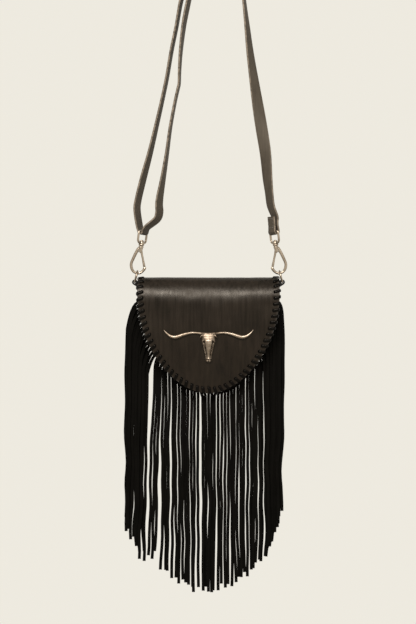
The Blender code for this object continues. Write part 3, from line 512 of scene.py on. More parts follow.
def evenRun(points, pitch):
    # evenly spaced (point, along) on a list of points
    run = [0.0]
    for a, b in zip(points, points[1:]):
        run.append(run[-1] + (b - a).length)
    count = max(1, int(run[-1] / pitch))
    first = (run[-1] - (count - 1) * pitch) / 2
    places = []
    k = 0
    for i in range(count):
        want = first + i * pitch
        while k < len(run) - 2 and run[k + 1] < want:
            k += 1
        f = (want - run[k]) / max(1e-9, run[k + 1] - run[k])
        places.append((points[k].lerp(points[k + 1], f), (points[k + 1] - points[k]).normalized()))
    return places


def sewRun(name, places, finish, body, seed=3):
    guide = guidePoints(name + "Guide", places)
    made = runTree(guide, sewnTree, {"Stitch": stitchTemplate, "Finish": finish, "Turn": 0.05,
                                     "Size Spread": 0.06, "Seed": seed}, name)
    smoothOver(made.data, 60.0)
    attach(made, body)


stitchTemplate = makeStitchTemplate(threadStitch)


# Room: plain pale floor, soft studio light.
room = {"wall": (0.855, 0.823, 0.742), "fill": 0.18, "floorZ": -1.16, "floorHalf": 0.74,
        "keyPower": 35.0, "keySize": (1.3, 0.30), "keyAngle": 34.0, "keyDistance": 1.6, "sidePower": 3.0,
        "aim": (-0.011, 0.0, -0.65)}


def makeRoom(setup):
    world = bpy.data.worlds.new("studioWorld")
    world.use_nodes = True
    tree = world.node_tree
    tree.nodes.clear()
    path = addNode(tree, "ShaderNodeLightPath").outputs
    seen = mathNode(tree, "MAXIMUM", path["Is Camera Ray"], path["Is Glossy Ray"])
    seen = mathNode(tree, "MAXIMUM", seen, path["Is Transmission Ray"])
    wall = addNode(tree, "ShaderNodeBackground", {"Color": (*setup["wall"], 1), "Strength": 1.0}).outputs[0]
    fill = addNode(tree, "ShaderNodeBackground", {"Color": (1, 0.985, 0.96, 1), "Strength": setup["fill"]}).outputs[0]
    mix = addNode(tree, "ShaderNodeMixShader", {0: seen, 1: fill, 2: wall}).outputs[0]
    addNode(tree, "ShaderNodeOutputWorld", {"Surface": mix})
    bpy.context.scene.world = world
    half = setup["floorHalf"]
    mesh = bpy.data.meshes.new("studioFloor")
    mesh.from_pydata([(-half, -half, setup["floorZ"]), (half, -half, setup["floorZ"]),
                      (half, half, setup["floorZ"]), (-half, half, setup["floorZ"])], [], [(0, 1, 2, 3)])
    mesh.materials.append(startMaterial("paleFloor", {
        "Base Color": (*setup["wall"], 1), "Roughness": 0.9, "Specular IOR Level": 0.1})[0])
    floor = addObject("studioFloor", mesh)
    target = Vector(setup["aim"])
    lift = math.radians(setup["keyAngle"])
    addLamp("keyLamp", target + Vector((-0.10, -math.cos(lift), math.sin(lift))) * setup["keyDistance"], target,
            setup["keyPower"], setup["keySize"])
    addLamp("sideLamp", target + Vector((1.3, -1.2, 0.2)), target, setup["sidePower"], (0.8, 1.2))


def addLamp(name, place, target, power, size):
    data = bpy.data.lights.new(name, "AREA")
    data.shape = "RECTANGLE"
    data.size, data.size_y = size
    data.energy = power
    data.color = (1.0, 0.985, 0.955)
    lamp = addObject(name, data)
    lamp.location = place
    lamp.rotation_euler = (target - place).to_track_quat("-Z", "Y").to_euler()


makeRoom(room)
print("room lit")


# Hide: flap and back in one leather.
hide = {"thick": 0.0018, "half": 0.0883, "topHalf": 0.0869, "straight": 0.020, "drop": 0.1442,
        "rollReach": 0.022, "rollDrop": 0.034, "tuck": 0.011, "dome": 0.002, "foldY": 0.005,
        "backHalf": 0.086, "backDrop": 0.1415, "backY": 0.0118, "foldRadius": 0.005, "backThick": 0.0016,
        "columns": 109, "ripple": 0.00035}
lacing = {"pitch": 0.008, "inset": 0.0068, "wide": 0.0038, "thick": 0.0012, "gap": 0.0002, "holeWide": 0.0042,
          "holeTall": 0.0018, "start": 0.004}


def tongueHalf(depth, half, drop):
    if depth <= hide["straight"]:
        return half
    t = min(1.0, (depth - hide["straight"]) / (drop - hide["straight"]))
    return half * max(0.0, 1 - t ** 1.9) ** (1 / 1.85)

def bodyHalf(depth):
    return tongueHalf(depth, hide["backHalf"], hide["backDrop"])


def flapHalf(depth):
    ease = min(1.0, depth / 0.012)
    ease = ease * ease * (3 - 2 * ease)
    top = hide["topHalf"] + (hide["half"] - hide["topHalf"]) * ease
    return min(top, tongueHalf(depth, hide["half"], hide["drop"]))


def flapLine(s):
    if s <= 1.0:
        a = s * math.pi / 2
        return hide["foldY"] - hide["rollReach"] * math.sin(a), hide["rollDrop"] * (1 - math.cos(a))
    t = s - 1.0
    depth = hide["rollDrop"] + t * (hide["drop"] - hide["rollDrop"])
    return hide["foldY"] - hide["rollReach"] + hide["tuck"] * t * t, depth


def flapS(depth):
    if depth < hide["rollDrop"]:
        return math.acos(1 - depth / hide["rollDrop"]) / (math.pi / 2)
    return 1.0 + (depth - hide["rollDrop"]) / (hide["drop"] - hide["rollDrop"])


def flapPoint(x, s):
    y, depth = flapLine(s)
    ease = min(1.0, depth / hide["rollDrop"])
    y += hide["dome"] * (abs(x) / hide["half"]) ** 3 * ease * ease
    return atBag(x, y, -depth)


def flapNormal(x, s):
    step = 0.002
    down = flapPoint(x, min(2.0, s + step)) - flapPoint(x, max(0.0, s - step))
    across = flapPoint(x + step, s) - flapPoint(x - step, s)
    return down.cross(across).normalized()


def onFlap(x, depth, height):
    s = flapS(depth)
    return flapPoint(x, s) + flapNormal(x, s) * height


def flapEdge():
    steps = [i / 60 for i in range(61)] + [1 + i / 90 for i in range(1, 86)]
    tail = [1 + (85 + i * 0.3) / 90 for i in range(1, 15)]
    right = [(flapHalf(flapLine(s)[1]), s) for s in steps + tail]
    floor = [(right[-1][0] * k / 3, right[-1][1]) for k in (2, 1)]
    left = [(-x, s) for x, s in right]
    return left + [(-x, s) for x, s in floor] + [(0.0, right[-1][1])] + floor[::-1] + right[::-1]


def lacePlaces():
    # (edge point at mid thickness, along, out, inward) for every hole
    edge = flapEdge()
    points = [flapPoint(x, s) for x, s in edge]
    run = [0.0]
    for a, b in zip(points, points[1:]):
        run.append(run[-1] + (b - a).length)
    count = int((run[-1] - 2 * lacing["start"]) / lacing["pitch"])
    first = (run[-1] - count * lacing["pitch"]) / 2
    places = []
    for i in range(count + 1):
        want = first + i * lacing["pitch"]
        k = max(j for j in range(len(run) - 1) if run[j] <= want)
        f = (want - run[k]) / (run[k + 1] - run[k])
        x = edge[k][0] + f * (edge[k + 1][0] - edge[k][0])
        s = edge[k][1] + f * (edge[k + 1][1] - edge[k][1])
        ahead = points[min(k + 4, len(points) - 1)]
        out = flapNormal(x, s)
        along = (ahead - points[max(0, k - 3)]).normalized()
        along = (along - out * along.dot(out)).normalized()
        inward = out.cross(along).normalized()
        point = points[k].lerp(points[k + 1], f)
        if inward.dot(atBag(0, 0, -0.06) - point) < 0:
            inward = -inward
        places.append((point - out * hide["thick"] / 2, along, out, inward))
    return places


laceSpots = lacePlaces()


def hideRows():
    # rows from the foot of the back over the fold and roll down to the tongue's foot
    rows = []
    steps = 64
    for i in range(steps):
        a = math.pi / 2 * (1 - i / steps) * 0.994
        t = math.sin(a) ** (2 / 1.9)
        depth = hide["straight"] + (hide["drop"] - hide["straight"]) * t
        if depth > hide["rollDrop"] + 0.0015:
            rows.append(("flap", flapS(depth)))
    for i in range(27):
        rows.append(("flap", 1.0 - i / 26))
    for i in range(13):
        rows.append(("fold", i / 12))
    steps = 46
    for i in range(1, steps + 1):
        a = math.pi / 2 * i / steps * 0.994
        rows.append(("back", math.sin(a) ** (2 / 1.9)))
    return rows[::-1]


def hideRow(kind, value):
    # half width, y and depth of one row's outer face
    if kind == "flap":
        y, depth = flapLine(value)
        return flapHalf(depth), y, depth
    if kind == "fold":
        a = math.pi / 2 * (1 - value)
        depth = hide["foldRadius"] * (1 - math.sin(a))
        y = hide["backY"] - hide["foldRadius"] + hide["foldRadius"] * math.cos(a)
        return hide["topHalf"] + (hide["backHalf"] - hide["topHalf"]) * value, y, depth
    depth = hide["foldRadius"] + (hide["backDrop"] - hide["foldRadius"]) * value
    return bodyHalf(depth), hide["backY"], depth


def gridFaces(rows, cols):
    # faces of a grid of front points, and of the same grid of back points listed after it
    shift = rows * cols
    faces = []
    for r in range(rows - 1):
        for c in range(cols - 1):
            a = r * cols + c
            quad = (a, a + 1, a + cols + 1, a + cols)
            faces += [quad, tuple(shift + v for v in reversed(quad))]
    return faces

def gridRim(rows, cols):
    rim = [(0, c) for c in range(cols)] + [(r, cols - 1) for r in range(1, rows)]
    return rim + [(rows - 1, c) for c in range(cols - 2, -1, -1)] + [(r, 0) for r in range(rows - 2, 0, -1)]

def roundedSheet(name, outer, thick, material, wear, bulge=0.3):
    # closed sheet from a grid of outer points, with a rounded rim; wear holds one number for each point
    rows, cols = len(outer), len(outer[0])
    inner = []
    for r in range(rows):
        line = []
        for c in range(cols):
            down = outer[min(r + 1, rows - 1)][c] - outer[max(r - 1, 0)][c]
            across = outer[r][min(c + 1, cols - 1)] - outer[r][max(c - 1, 0)]
            normal = down.cross(across)
            line.append(outer[r][c] - normal.normalized() * (thick[r][c] if isinstance(thick, list) else thick))
        inner.append(line)
    verts = [p for row in outer for p in row] + [p for row in inner for p in row]
    shift = rows * cols
    faces = gridFaces(rows, cols)
    rim = gridRim(rows, cols)
    layers = [[r * cols + c for r, c in rim]]
    for f in (0.2, 0.5, 0.8):
        layer = []
        for r, c in rim:
            nearR = 1 if r == 0 else rows - 2 if r == rows - 1 else r
            nearC = 1 if c == 0 else cols - 2 if c == cols - 1 else c
            out = Vector()
            if r in (0, rows - 1):
                out += (outer[r][c] - outer[nearR][c]).normalized()
            if c in (0, cols - 1):
                out += (outer[r][c] - outer[r][nearC]).normalized()
            through = inner[r][c] - outer[r][c]
            layer.append(len(verts))
            verts.append(outer[r][c] + through * f + out.normalized() * through.length * bulge * math.sin(math.pi * f))
        layers.append(layer)
    layers.append([shift + r * cols + c for r, c in rim])
    for first, second in zip(layers, layers[1:]):
        for i in range(len(rim)):
            n = (i + 1) % len(rim)
            faces.append((first[i], first[n], second[n], second[i]))
    edge = wear + wear + [1.0] * (len(verts) - 2 * shift)
    return makePiece(name, verts, faces, material, {"edge": edge})


def makeHide():
    holes = kdtree.KDTree(len(laceSpots))
    for i, (point, _, out, inward) in enumerate(laceSpots):
        holes.insert(point + inward * lacing["inset"] + out * hide["thick"] / 2, i)
    holes.balance()
    middle = (hide["columns"] - 1) / 2
    outer, thick, wear = [], [], []
    for kind, value in hideRows():
        half, y, depth = hideRow(kind, value)
        line, heavy = [], []
        for c in range(hide["columns"]):
            u = (c - middle) / middle
            u = math.copysign(1 - (1 - abs(u)) ** 1.15, u)
            x = u * (half - 0.0004)
            if kind == "flap":
                point, normal = flapPoint(x, value), flapNormal(x, value)
            else:
                a = math.pi / 2 * (1 - value)
                point = atBag(x, y, -depth)
                normal = Vector((0, math.cos(a), math.sin(a))) if kind == "fold" else Vector((0, 1, 0))
            calm = max(0.0, (abs(x) - 0.05) / 0.02) + max(0.0, (0.060 - depth) / 0.02)
            calm = min(1.0, calm + max(0.0, (depth - 0.105) / 0.02))  # flatter round the ornament
            wave = noise.noise(point * 38.0 + Vector((3.1, 0, 0))) + 0.5 * noise.noise(point * 90.0)
            push = hide["ripple"] * wave * (0.35 + 0.65 * calm)
            edge = 1 - abs(u)
            if kind == "flap":
                near = holes.find(point)[2]
                push -= 0.00040 * math.exp(-(near / 0.0016) ** 2)
                push += 0.00012 * math.exp(-((near - 0.0035) / 0.0016) ** 2)
            line.append(point + normal * push)
            heavy.append(hide["thick"] if kind == "flap" else hide["backThick"])
            rub = max(0.0, 1 - edge * half / 0.0022)
            wear.append(min(1.0, rub))
        outer.append(line)
        thick.append(heavy)
    return roundedSheet("hide", outer, thick, finishes["hide"], wear)


def punchHoles(thing):
    parts = Parts()
    for point, along, out, inward in laceSpots:
        hole = point + inward * lacing["inset"]
        rings = []
        for h in (-0.003, 0.003):
            rings.append([hole + along * math.cos(a) * lacing["holeWide"] / 2 + inward * math.sin(a)
                          * lacing["holeTall"] / 2 + out * h for a in fullTurn(8, 0.5)])
        parts.addRings(rings)
    cutAway(thing, parts, finishes["hide"])
    smoothOver(thing.data, 40.0)


hidePiece = makeHide()
punchHoles(hidePiece)
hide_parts("flap", "back_panel")
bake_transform(hidePiece)
print("hide made", len(hidePiece.data.vertices))


# Lacing whipped round the flap.
def makeLaceTemplate(setup):
    lift = hide["thick"] / 2 + setup["gap"] + setup["thick"] / 2
    inset = setup["inset"]
    line = [(0.00, inset - 0.0001, -0.0007), (0.00, inset - 0.0001, 0.0006), (0.01, inset - 0.0005, lift - 0.0001),
            (0.04, inset - 0.0015, lift + 0.0003), (0.12, inset * 0.45, lift + 0.00015), (0.18, 0.0012, lift + 0.0001),
            (0.22, -0.0003, lift * 0.85), (0.25, -0.0010, lift * 0.3), (0.28, -0.0010, -lift * 0.3),
            (0.32, -0.0003, -lift * 0.85), (0.38, 0.0012, -lift - 0.0001), (0.72, inset * 0.6, -lift - 0.0001),
            (0.97, inset - 0.0007, -lift + 0.0001), (1.0, inset - 0.0001, -0.0006)]
    path = smoothRun([Vector((u * setup["pitch"], y, z)) for u, y, z in line], 2)
    rings = []
    for i, point in enumerate(path):
        along = (path[min(i + 1, len(path) - 1)] - path[max(i - 1, 0)]).normalized()
        across = Vector((1, 0, 0))
        across = (across - along * across.dot(along)).normalized()
        normal = along.cross(across).normalized()
        half, flat = setup["wide"] / 2, setup["thick"] / 2
        rings.append([point + across * half * u + normal * flat * v for u, v in (
            (1, 0), (0.72, 0.85), (0, 1.1), (-0.72, 0.85), (-1, 0), (-0.72, -0.85), (0, -1), (0.72, -0.85))])
    parts = Parts().addRings(rings)
    return makePiece("laceTemplate", parts.verts, parts.faces, None)


def makeLacing():
    template = makeLaceTemplate(lacing)
    places = [(point, inward.cross(out).normalized(), out) for point, _, out, inward in laceSpots]
    guide = guidePoints("laceGuide", places)
    made = runTree(guide, sewnTree, {"Stitch": template, "Finish": finishes["lace"], "Turn": 0.11,
                                     "Size Spread": 0.05, "Seed": 5}, "lacing")
    bpy.data.objects.remove(template, do_unlink=True)
    smoothOver(made.data, 70.0)
    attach(made, "flap")
    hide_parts("flap_lacing")


makeLacing()
print("lacing made")


# Longhorn skull ornament.
longhorn = {"voxel": 0.00034, "softRounds": 2, "gap": 0.0003, "rim": 0.00025}


def bellCurve(value, middle, wide):
    return math.exp(-((value - middle) / wide) ** 2)


def along(table, value, eased=True):
    # reading between (place, amount) pairs
    if value <= table[0][0]:
        return table[0][1]
    for (a, p), (b, q) in zip(table, table[1:]):
        if value <= b:
            t = (value - a) / (b - a)
            if eased:
                t = t * t * (3 - 2 * t)
            return p + (q - p) * t
    return table[-1][1]


skullWide = [(0.0685, 0.0070), (0.0700, 0.0098), (0.0718, 0.0106), (0.0745, 0.0098), (0.0770, 0.0091),
             (0.0795, 0.0091), (0.0820, 0.0080), (0.0850, 0.0073), (0.0890, 0.0063), (0.0930, 0.0053),
             (0.0965, 0.0043), (0.0990, 0.0040), (0.1015, 0.0044), (0.1034, 0.0043), (0.1046, 0.0031), (0.1052, 0.0018)]
skullTall = [(0.0685, 0.0018), (0.0705, 0.0034), (0.0730, 0.0043), (0.0760, 0.0054), (0.0790, 0.0062),
             (0.0820, 0.0063), (0.0870, 0.0054), (0.0930, 0.0045), (0.0965, 0.0039), (0.0985, 0.0041),
             (0.1008, 0.0050), (0.1030, 0.0044), (0.1052, 0.0020)]


def skullHeight(x, depth):
    wide = along(skullWide, depth)
    u = abs(x) / wide
    if u >= 1:
        return 0.0
    height = along(skullTall, depth) * (1 - u ** 2.6) ** 0.62
    side = abs(x)
    # dark brow beside the forehead
    height -= 0.0016 * bellCurve(side, 0.0092, 0.0016) * bellCurve(depth, 0.0738, 0.0036)
    height += 0.0012 * bellCurve(side, 0.0074, 0.0014) * bellCurve(depth, 0.0792, 0.0017)  # eye rim
    height -= 0.0021 * bellCurve(side, 0.0056, 0.0011) * bellCurve(depth, 0.0800, 0.0017)  # eye hollow
    groove = 0.0052 - (depth - 0.0800) * 0.17
    height -= 0.0018 * bellCurve(side, groove, 0.0009) * bellCurve(depth, 0.0890, 0.0075)
    height += 0.0008 * bellCurve(side, 0.0, 0.0012) * bellCurve(depth, 0.0900, 0.0100)
    height -= 0.0010 * bellCurve(side, 0.0026, 0.0007) * bellCurve(depth, 0.0975, 0.0026)
    height -= 0.0020 * bellCurve(depth, 0.1022, 0.0005)
    height -= 0.0016 * bellCurve(side, 0.0, 0.0006) * bellCurve(depth, 0.1038, 0.0014)
    return max(0.0, height)


def markPatinaAndShade(mesh):
    # dark patina in the hollows and rims of the casting, plus painted shade: the lower a point sits above the hide, the
    # darker it is painted, so the skull's sides and the horns' undersides come out darker
    values = [0.0] * len(mesh.vertices)
    mesh.attributes["recess"].data.foreach_get("value", values)
    for i, v in enumerate(mesh.vertices):
        x = v.co.x - bagPlace["x"]
        depth = bagPlace["z"] - v.co.z
        s = flapS(depth)
        height = (v.co - flapPoint(x, s)).dot(flapNormal(x, s))
        full = 0.0048 if abs(x) < 0.011 else 0.0030
        # painted shade: darker the lower the relief sits above the hide
        low = max(0.0, min(1.0, 1.35 - height / full * 1.4))
        groove = 0.0054 - (depth - 0.0800) * 0.16
        # dark patina with painted shade in the muzzle grooves, brow, mouth line, skull top edge, eye hollows and nose
        # sides
        drawn = 1.0 * bellCurve(abs(x), groove, 0.0012) * bellCurve(depth, 0.0885, 0.0085)
        drawn += 0.9 * bellCurve(abs(x), 0.0096, 0.0024) * bellCurve(depth, 0.0735, 0.0042)
        drawn += 0.9 * bellCurve(depth, 0.1022, 0.0006) * bellCurve(x, 0.0, 0.006)
        drawn += 0.55 * bellCurve(depth, 0.0698, 0.0012) * bellCurve(x, 0.0, 0.009)
        drawn += 0.9 * bellCurve(abs(x), 0.0058, 0.0016) * bellCurve(depth, 0.0800, 0.0022)
        drawn += 0.45 * bellCurve(abs(x), 0.0022, 0.0009) * bellCurve(depth, 0.0960, 0.0040)
        values[i] = min(1.0, max(values[i], low ** 1.4, drawn))
    mesh.attributes["recess"].data.foreach_set("value", values)


def makeLonghorn(setup):
    parts = Parts()
    rows = [skullWide[0][0] + (skullWide[-1][0] - skullWide[0][0]) * i / 74 for i in range(75)]
    grid = []
    for depth in rows:
        wide = along(skullWide, depth)
        grid += [(math.sin(math.pi / 2 * k / 20) * wide, depth) for k in range(-20, 21)]
    parts.verts += [onFlap(x, depth, setup["gap"] + skullHeight(x, depth) + setup["rim"]) for x, depth in grid]
    parts.verts += [onFlap(x, depth, setup["gap"]) for x, depth in grid]
    cols, count = 41, len(grid)
    parts.faces += gridFaces(len(rows), cols)
    rim = [r * cols + c for r, c in gridRim(len(rows), cols)]
    for i, a in enumerate(rim):
        b = rim[(i + 1) % len(rim)]
        parts.faces.append((a, b, count + b, count + a))
    hornLine = [(0.0000, 0.0702, 0.0034), (0.0080, 0.0698, 0.0032), (0.0160, 0.0688, 0.0026), (0.0225, 0.0690, 0.0029),
                (0.0305, 0.0708, 0.0039), (0.0370, 0.0730, 0.0045), (0.0420, 0.0740, 0.0043), (0.0470, 0.0728, 0.0036),
                (0.0510, 0.0700, 0.0026), (0.0538, 0.0672, 0.0016), (0.0556, 0.0647, 0.0007)]
    for side in (-1, 1):
        half = smoothRun([Vector(p) for p in hornLine], 5)
        rings = []
        for i, p in enumerate(half):
            a, b = half[max(0, i - 1)], half[min(i + 1, len(half) - 1)]
            size = math.hypot(b.x - a.x, b.y - a.y)
            nx, nd = -(b.y - a.y) / size, (b.x - a.x) / size
            tall = 0.0006 + p.z * 0.82
            ring = []
            for turn in fullTurn(12):
                across = math.cos(turn) * p.z / 2
                height = max(0.0, 0.42 + 0.58 * math.sin(turn)) * tall
                ring.append(onFlap(side * (p.x + nx * across), p.y + nd * across, setup["gap"] + height))
            rings.append(ring)
        parts.addRings(rings)
        ear = [(0.0070, 0.0722, 0.0030), (0.0090, 0.0728, 0.0036), (0.0105, 0.0742, 0.0031), (0.0111, 0.0758, 0.0017)]
        line = smoothRun([Vector(p) for p in ear], 3)
        rings = []
        for p in line:
            rings.append([onFlap(side * p.x, p.y + math.cos(turn) * p.z / 2,
                                 setup["gap"] + max(0.0, 0.45 + 0.6 * math.sin(turn)) * p.z * 1.1)
                          for turn in fullTurn(8)])
        parts.addRings(rings)
    made = fuse("longhorn", parts, setup["voxel"], setup["softRounds"], finishes["silver"])
    markPatinaAndShade(made.data)
    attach(made, "flap")
    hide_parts("longhorn_ornament")


makeLonghorn(longhorn)
print("longhorn made")


# Front of the pouch.
pouch = {"mouth": 0.024, "belly": 0.019, "thick": 0.0016, "seamY": 0.0068, "seamStart": 0.027, "rows": 60,
         "columns": 71}


def tongueLevel(x, depth):
    across = (abs(x) / hide["backHalf"]) ** 1.85
    down = max(0.0, (depth - hide["straight"]) / (hide["backDrop"] - hide["straight"])) ** 1.9
    return (across + down) ** (1 / 1.87)


def pouchPoint(x, depth):
    level = min(1.0, tongueLevel(x, depth) / 0.92)
    return atBag(x, pouch["seamY"] - pouch["belly"] * (1 - level ** 3), -depth)


def makeFrontPanel(setup):
    outer, wear = [], []
    middle = (setup["columns"] - 1) / 2
    for i in range(setup["rows"] + 1):
        t = i / setup["rows"]
        depth = setup["mouth"] + (hide["backDrop"] - setup["mouth"]) * math.sin(math.pi / 2 * t * 0.994)
        half = bodyHalf(depth) - 0.0003
        line = []
        for c in range(setup["columns"]):
            x = half * math.sin(math.pi / 2 * (c - middle) / middle)
            point = pouchPoint(x, depth)
            calm = max(0.0, 1 - tongueLevel(x, depth) / 0.92)
            point.y += 0.0009 * calm * noise.noise(point * 45.0)
            line.append(point)
            wear.append(1.0 if t < 0.02 else 0.0)
        outer.append(line)
    outer = [row[::-1] for row in outer][::-1]
    made = roundedSheet("frontPanel", outer, setup["thick"], finishes["panel"], wear[::-1])
    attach(made, "bag")
    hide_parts("front_panel")
    hem = [pouchPoint(hide["backHalf"] * 0.93 * u / 40, setup["mouth"] + 0.004) for u in range(-40, 41)]
    seam = bodySeam(0.0045)
    runs = evenRun(hem, threadStitch["pitch"])
    runs += evenRun([pouchPoint(x, d) for x, d in seam], threadStitch["pitch"])
    front = [(p, a, Vector((0, -1, 0))) for p, a in runs]
    sewRun("frontSeamThread", front, finishes["blackThread"], "bag", seed=9)
    back = [atBag(x, hide["backY"], -d) for x, d in seam]
    sewRun("backSeamThread", [(p, a, Vector((0, 1, 0))) for p, a in evenRun(back, threadStitch["pitch"])],
           finishes["blackThread"], "bag", seed=12)


def bodySeam(inset):
    # (x, depth) just inside the pouch's U edge, from side to side
    right = []
    for i in range(90):
        depth = pouch["seamStart"] + (hide["backDrop"] - pouch["seamStart"]) * math.sin(math.pi / 2 * i / 90)
        right.append((bodyHalf(depth), depth))
    right.append((0.0, hide["backDrop"]))
    moved = []
    for i, (x, d) in enumerate(right):
        a, b = right[max(0, i - 1)], right[min(i + 1, len(right) - 1)]
        size = math.hypot(b[0] - a[0], b[1] - a[1])
        moved.append((x - (b[1] - a[1]) / size * inset, d + (b[0] - a[0]) / size * inset))
    moved = [p for p in moved if p[0] > 0.0004]
    return [(-x, d) for x, d in moved] + moved[::-1]


makeFrontPanel(pouch)
print("front panel made")


# Fringe.
fringe = {"start": 0.027, "pitch": 0.0046, "wide": 0.0037, "thick": 0.0009, "long": 0.250,
          "spread": [(0.0, -0.1035), (0.225, -0.0788), (0.24, -0.0705), (0.5, 0.0), (0.77, 0.0715), (1.0, 0.0960)],
          "gaps": [(-0.0747, 0.0006), (-0.0605, 0.0006), (-0.0105, 0.0024), (0.0300, 0.0008)],
          "layer": 0.0011, "headWide": 0.0075, "headThick": 0.0012, "middleY": 0.0093,
          "sway": 0.0020, "twist": 0.5, "seed": 7, "longerLeft": 0.022, "longerRight": 0.0095,
          "massEnd": -0.0745, "clusterEnd": -0.0600, "leanMass": 0.0035, "leanCluster": 0.0058,
          "leanRight": 0.0055, "shortTips": 0.028, "leftMost": -0.1025}


def bodyRun():
    points = []
    for i in range(161):
        depth = fringe["start"] + (hide["backDrop"] - fringe["start"]) * math.sin(i / 160 * math.pi / 2)
        points.append((bodyHalf(depth), depth))
    points[-1] = (0.0, hide["backDrop"])
    run = [0.0]
    for a, b in zip(points, points[1:]):
        run.append(run[-1] + math.hypot(b[0] - a[0], b[1] - a[1]))
    return points, run


def seamAt(points, run, distance):
    # x, depth, outward direction at a signed distance from the bottom middle
    side = 1 if distance > 0 else -1
    want = max(0.0, run[-1] - abs(distance))
    k = max(j for j in range(len(run) - 1) if run[j] <= want)
    f = (want - run[k]) / (run[k + 1] - run[k])
    a, b = points[k], points[k + 1]
    size = math.hypot(b[0] - a[0], b[1] - a[1])
    out = ((b[1] - a[1]) / size, -(a[0] - b[0]) / size)
    x, d = a[0] + f * (b[0] - a[0]), a[1] + f * (b[1] - a[1])
    return side * x, -d, side * abs(out[0]), -abs(out[1])


def makeFringeTree():
    tree, given, made = newTree("cutStrands", [
        ("Wide", "NodeSocketFloat", 0.0034), ("Thick", "NodeSocketFloat", 0.0009), ("Sway", "NodeSocketFloat", 0.004),
        ("Twist", "NodeSocketFloat", 1.0), ("Seed", "NodeSocketInt", 7), ("Finish", "NodeSocketMaterial", None)])
    drop, strand = named(tree, "drop", "FLOAT"), named(tree, "strand", "FLOAT")
    place = addNode(tree, "GeometryNodeInputPosition").outputs[0]
    curve = addNode(tree, "GeometryNodeMeshToCurve", {"Mesh": given["Geometry"]}).outputs[0]
    apart = addNode(tree, "ShaderNodeCombineXYZ", {
        "X": mathNode(tree, "MULTIPLY", strand, 0.37), "Y": mathNode(tree, "MULTIPLY", strand, 1.31),
        "Z": mathNode(tree, "MULTIPLY", drop, 2.6)}).outputs[0]
    wander = addNode(tree, "ShaderNodeTexNoise", {"Vector": apart, "W": given["Seed"], "Scale": 1.0, "Detail": 1.5},
                     noise_dimensions="4D").outputs["Color"]
    clump = addNode(tree, "ShaderNodeTexNoise", {"Vector": place, "Scale": 22.0, "Detail": 0.0}).outputs["Color"]
    both = vectorNode(tree, "SUBTRACT", vectorNode(tree, "ADD", wander, clump), (1.0, 1.0, 1.0))
    flat = vectorNode(tree, "MULTIPLY", both, (3.4, 1.5, 0.0))
    reach = mathNode(tree, "MULTIPLY", given["Sway"], mathNode(tree, "POWER", drop, 0.8))
    shift = addNode(tree, "ShaderNodeVectorMath", {0: flat, "Scale": reach}, operation="SCALE").outputs[0]
    moved = addNode(tree, "GeometryNodeSetPosition", {"Geometry": curve, "Offset": shift}).outputs[0]
    spin = addNode(tree, "ShaderNodeTexNoise", {"Vector": apart, "W": mathNode(tree, "ADD", given["Seed"], 4.3),
                                                "Scale": 0.8, "Detail": 0.0}, noise_dimensions="4D").outputs["Fac"]
    most = mathNode(tree, "MULTIPLY", given["Twist"], 4.0)
    swing = mathNode(tree, "MULTIPLY", mathNode(tree, "SUBTRACT", spin, 0.5), most)
    tilt = mathNode(tree, "MULTIPLY", swing, mathNode(tree, "POWER", drop, 0.5))
    facing = addNode(tree, "GeometryNodeSetCurveNormal", {"Curve": moved}, mode="FREE")
    tree.links.new(named(tree, "face"), facing.inputs["Normal"])
    tilted = addNode(tree, "GeometryNodeSetCurveTilt", {"Curve": facing.outputs[0], "Tilt": tilt}).outputs[0]
    outline = addNode(tree, "GeometryNodeCurvePrimitiveQuadrilateral", {
        "Width": given["Thick"], "Height": given["Wide"]})
    body = addNode(tree, "GeometryNodeCurveToMesh", {
        "Curve": tilted, "Profile Curve": outline.outputs[0], "Fill Caps": True}).outputs[0]
    real = addNode(tree, "GeometryNodeRealizeInstances", {"Geometry": body}).outputs[0]
    dressed = addNode(tree, "GeometryNodeSetMaterial", {"Geometry": real, "Material": given["Finish"]}).outputs[0]
    tree.links.new(dressed, made[0])
    return tree


def fallPlaces(count):
    # where each strand hangs: packed masses at both sides, an even run between, and open gaps
    places = []
    for i in range(count):
        t = i / (count - 1)
        loose = 0.0003 * math.sin(i * 2.1) + 0.0005 * math.sin(i * 0.83 + 1.0)
        places.append(along(fringe["spread"], t, False) + loose)
    for gap, opening in fringe["gaps"]:
        for i, x in enumerate(places):
            away = x - gap
            places[i] = x + math.copysign(opening / 2, away) * math.exp(-(away / 0.012) ** 2)
    return places


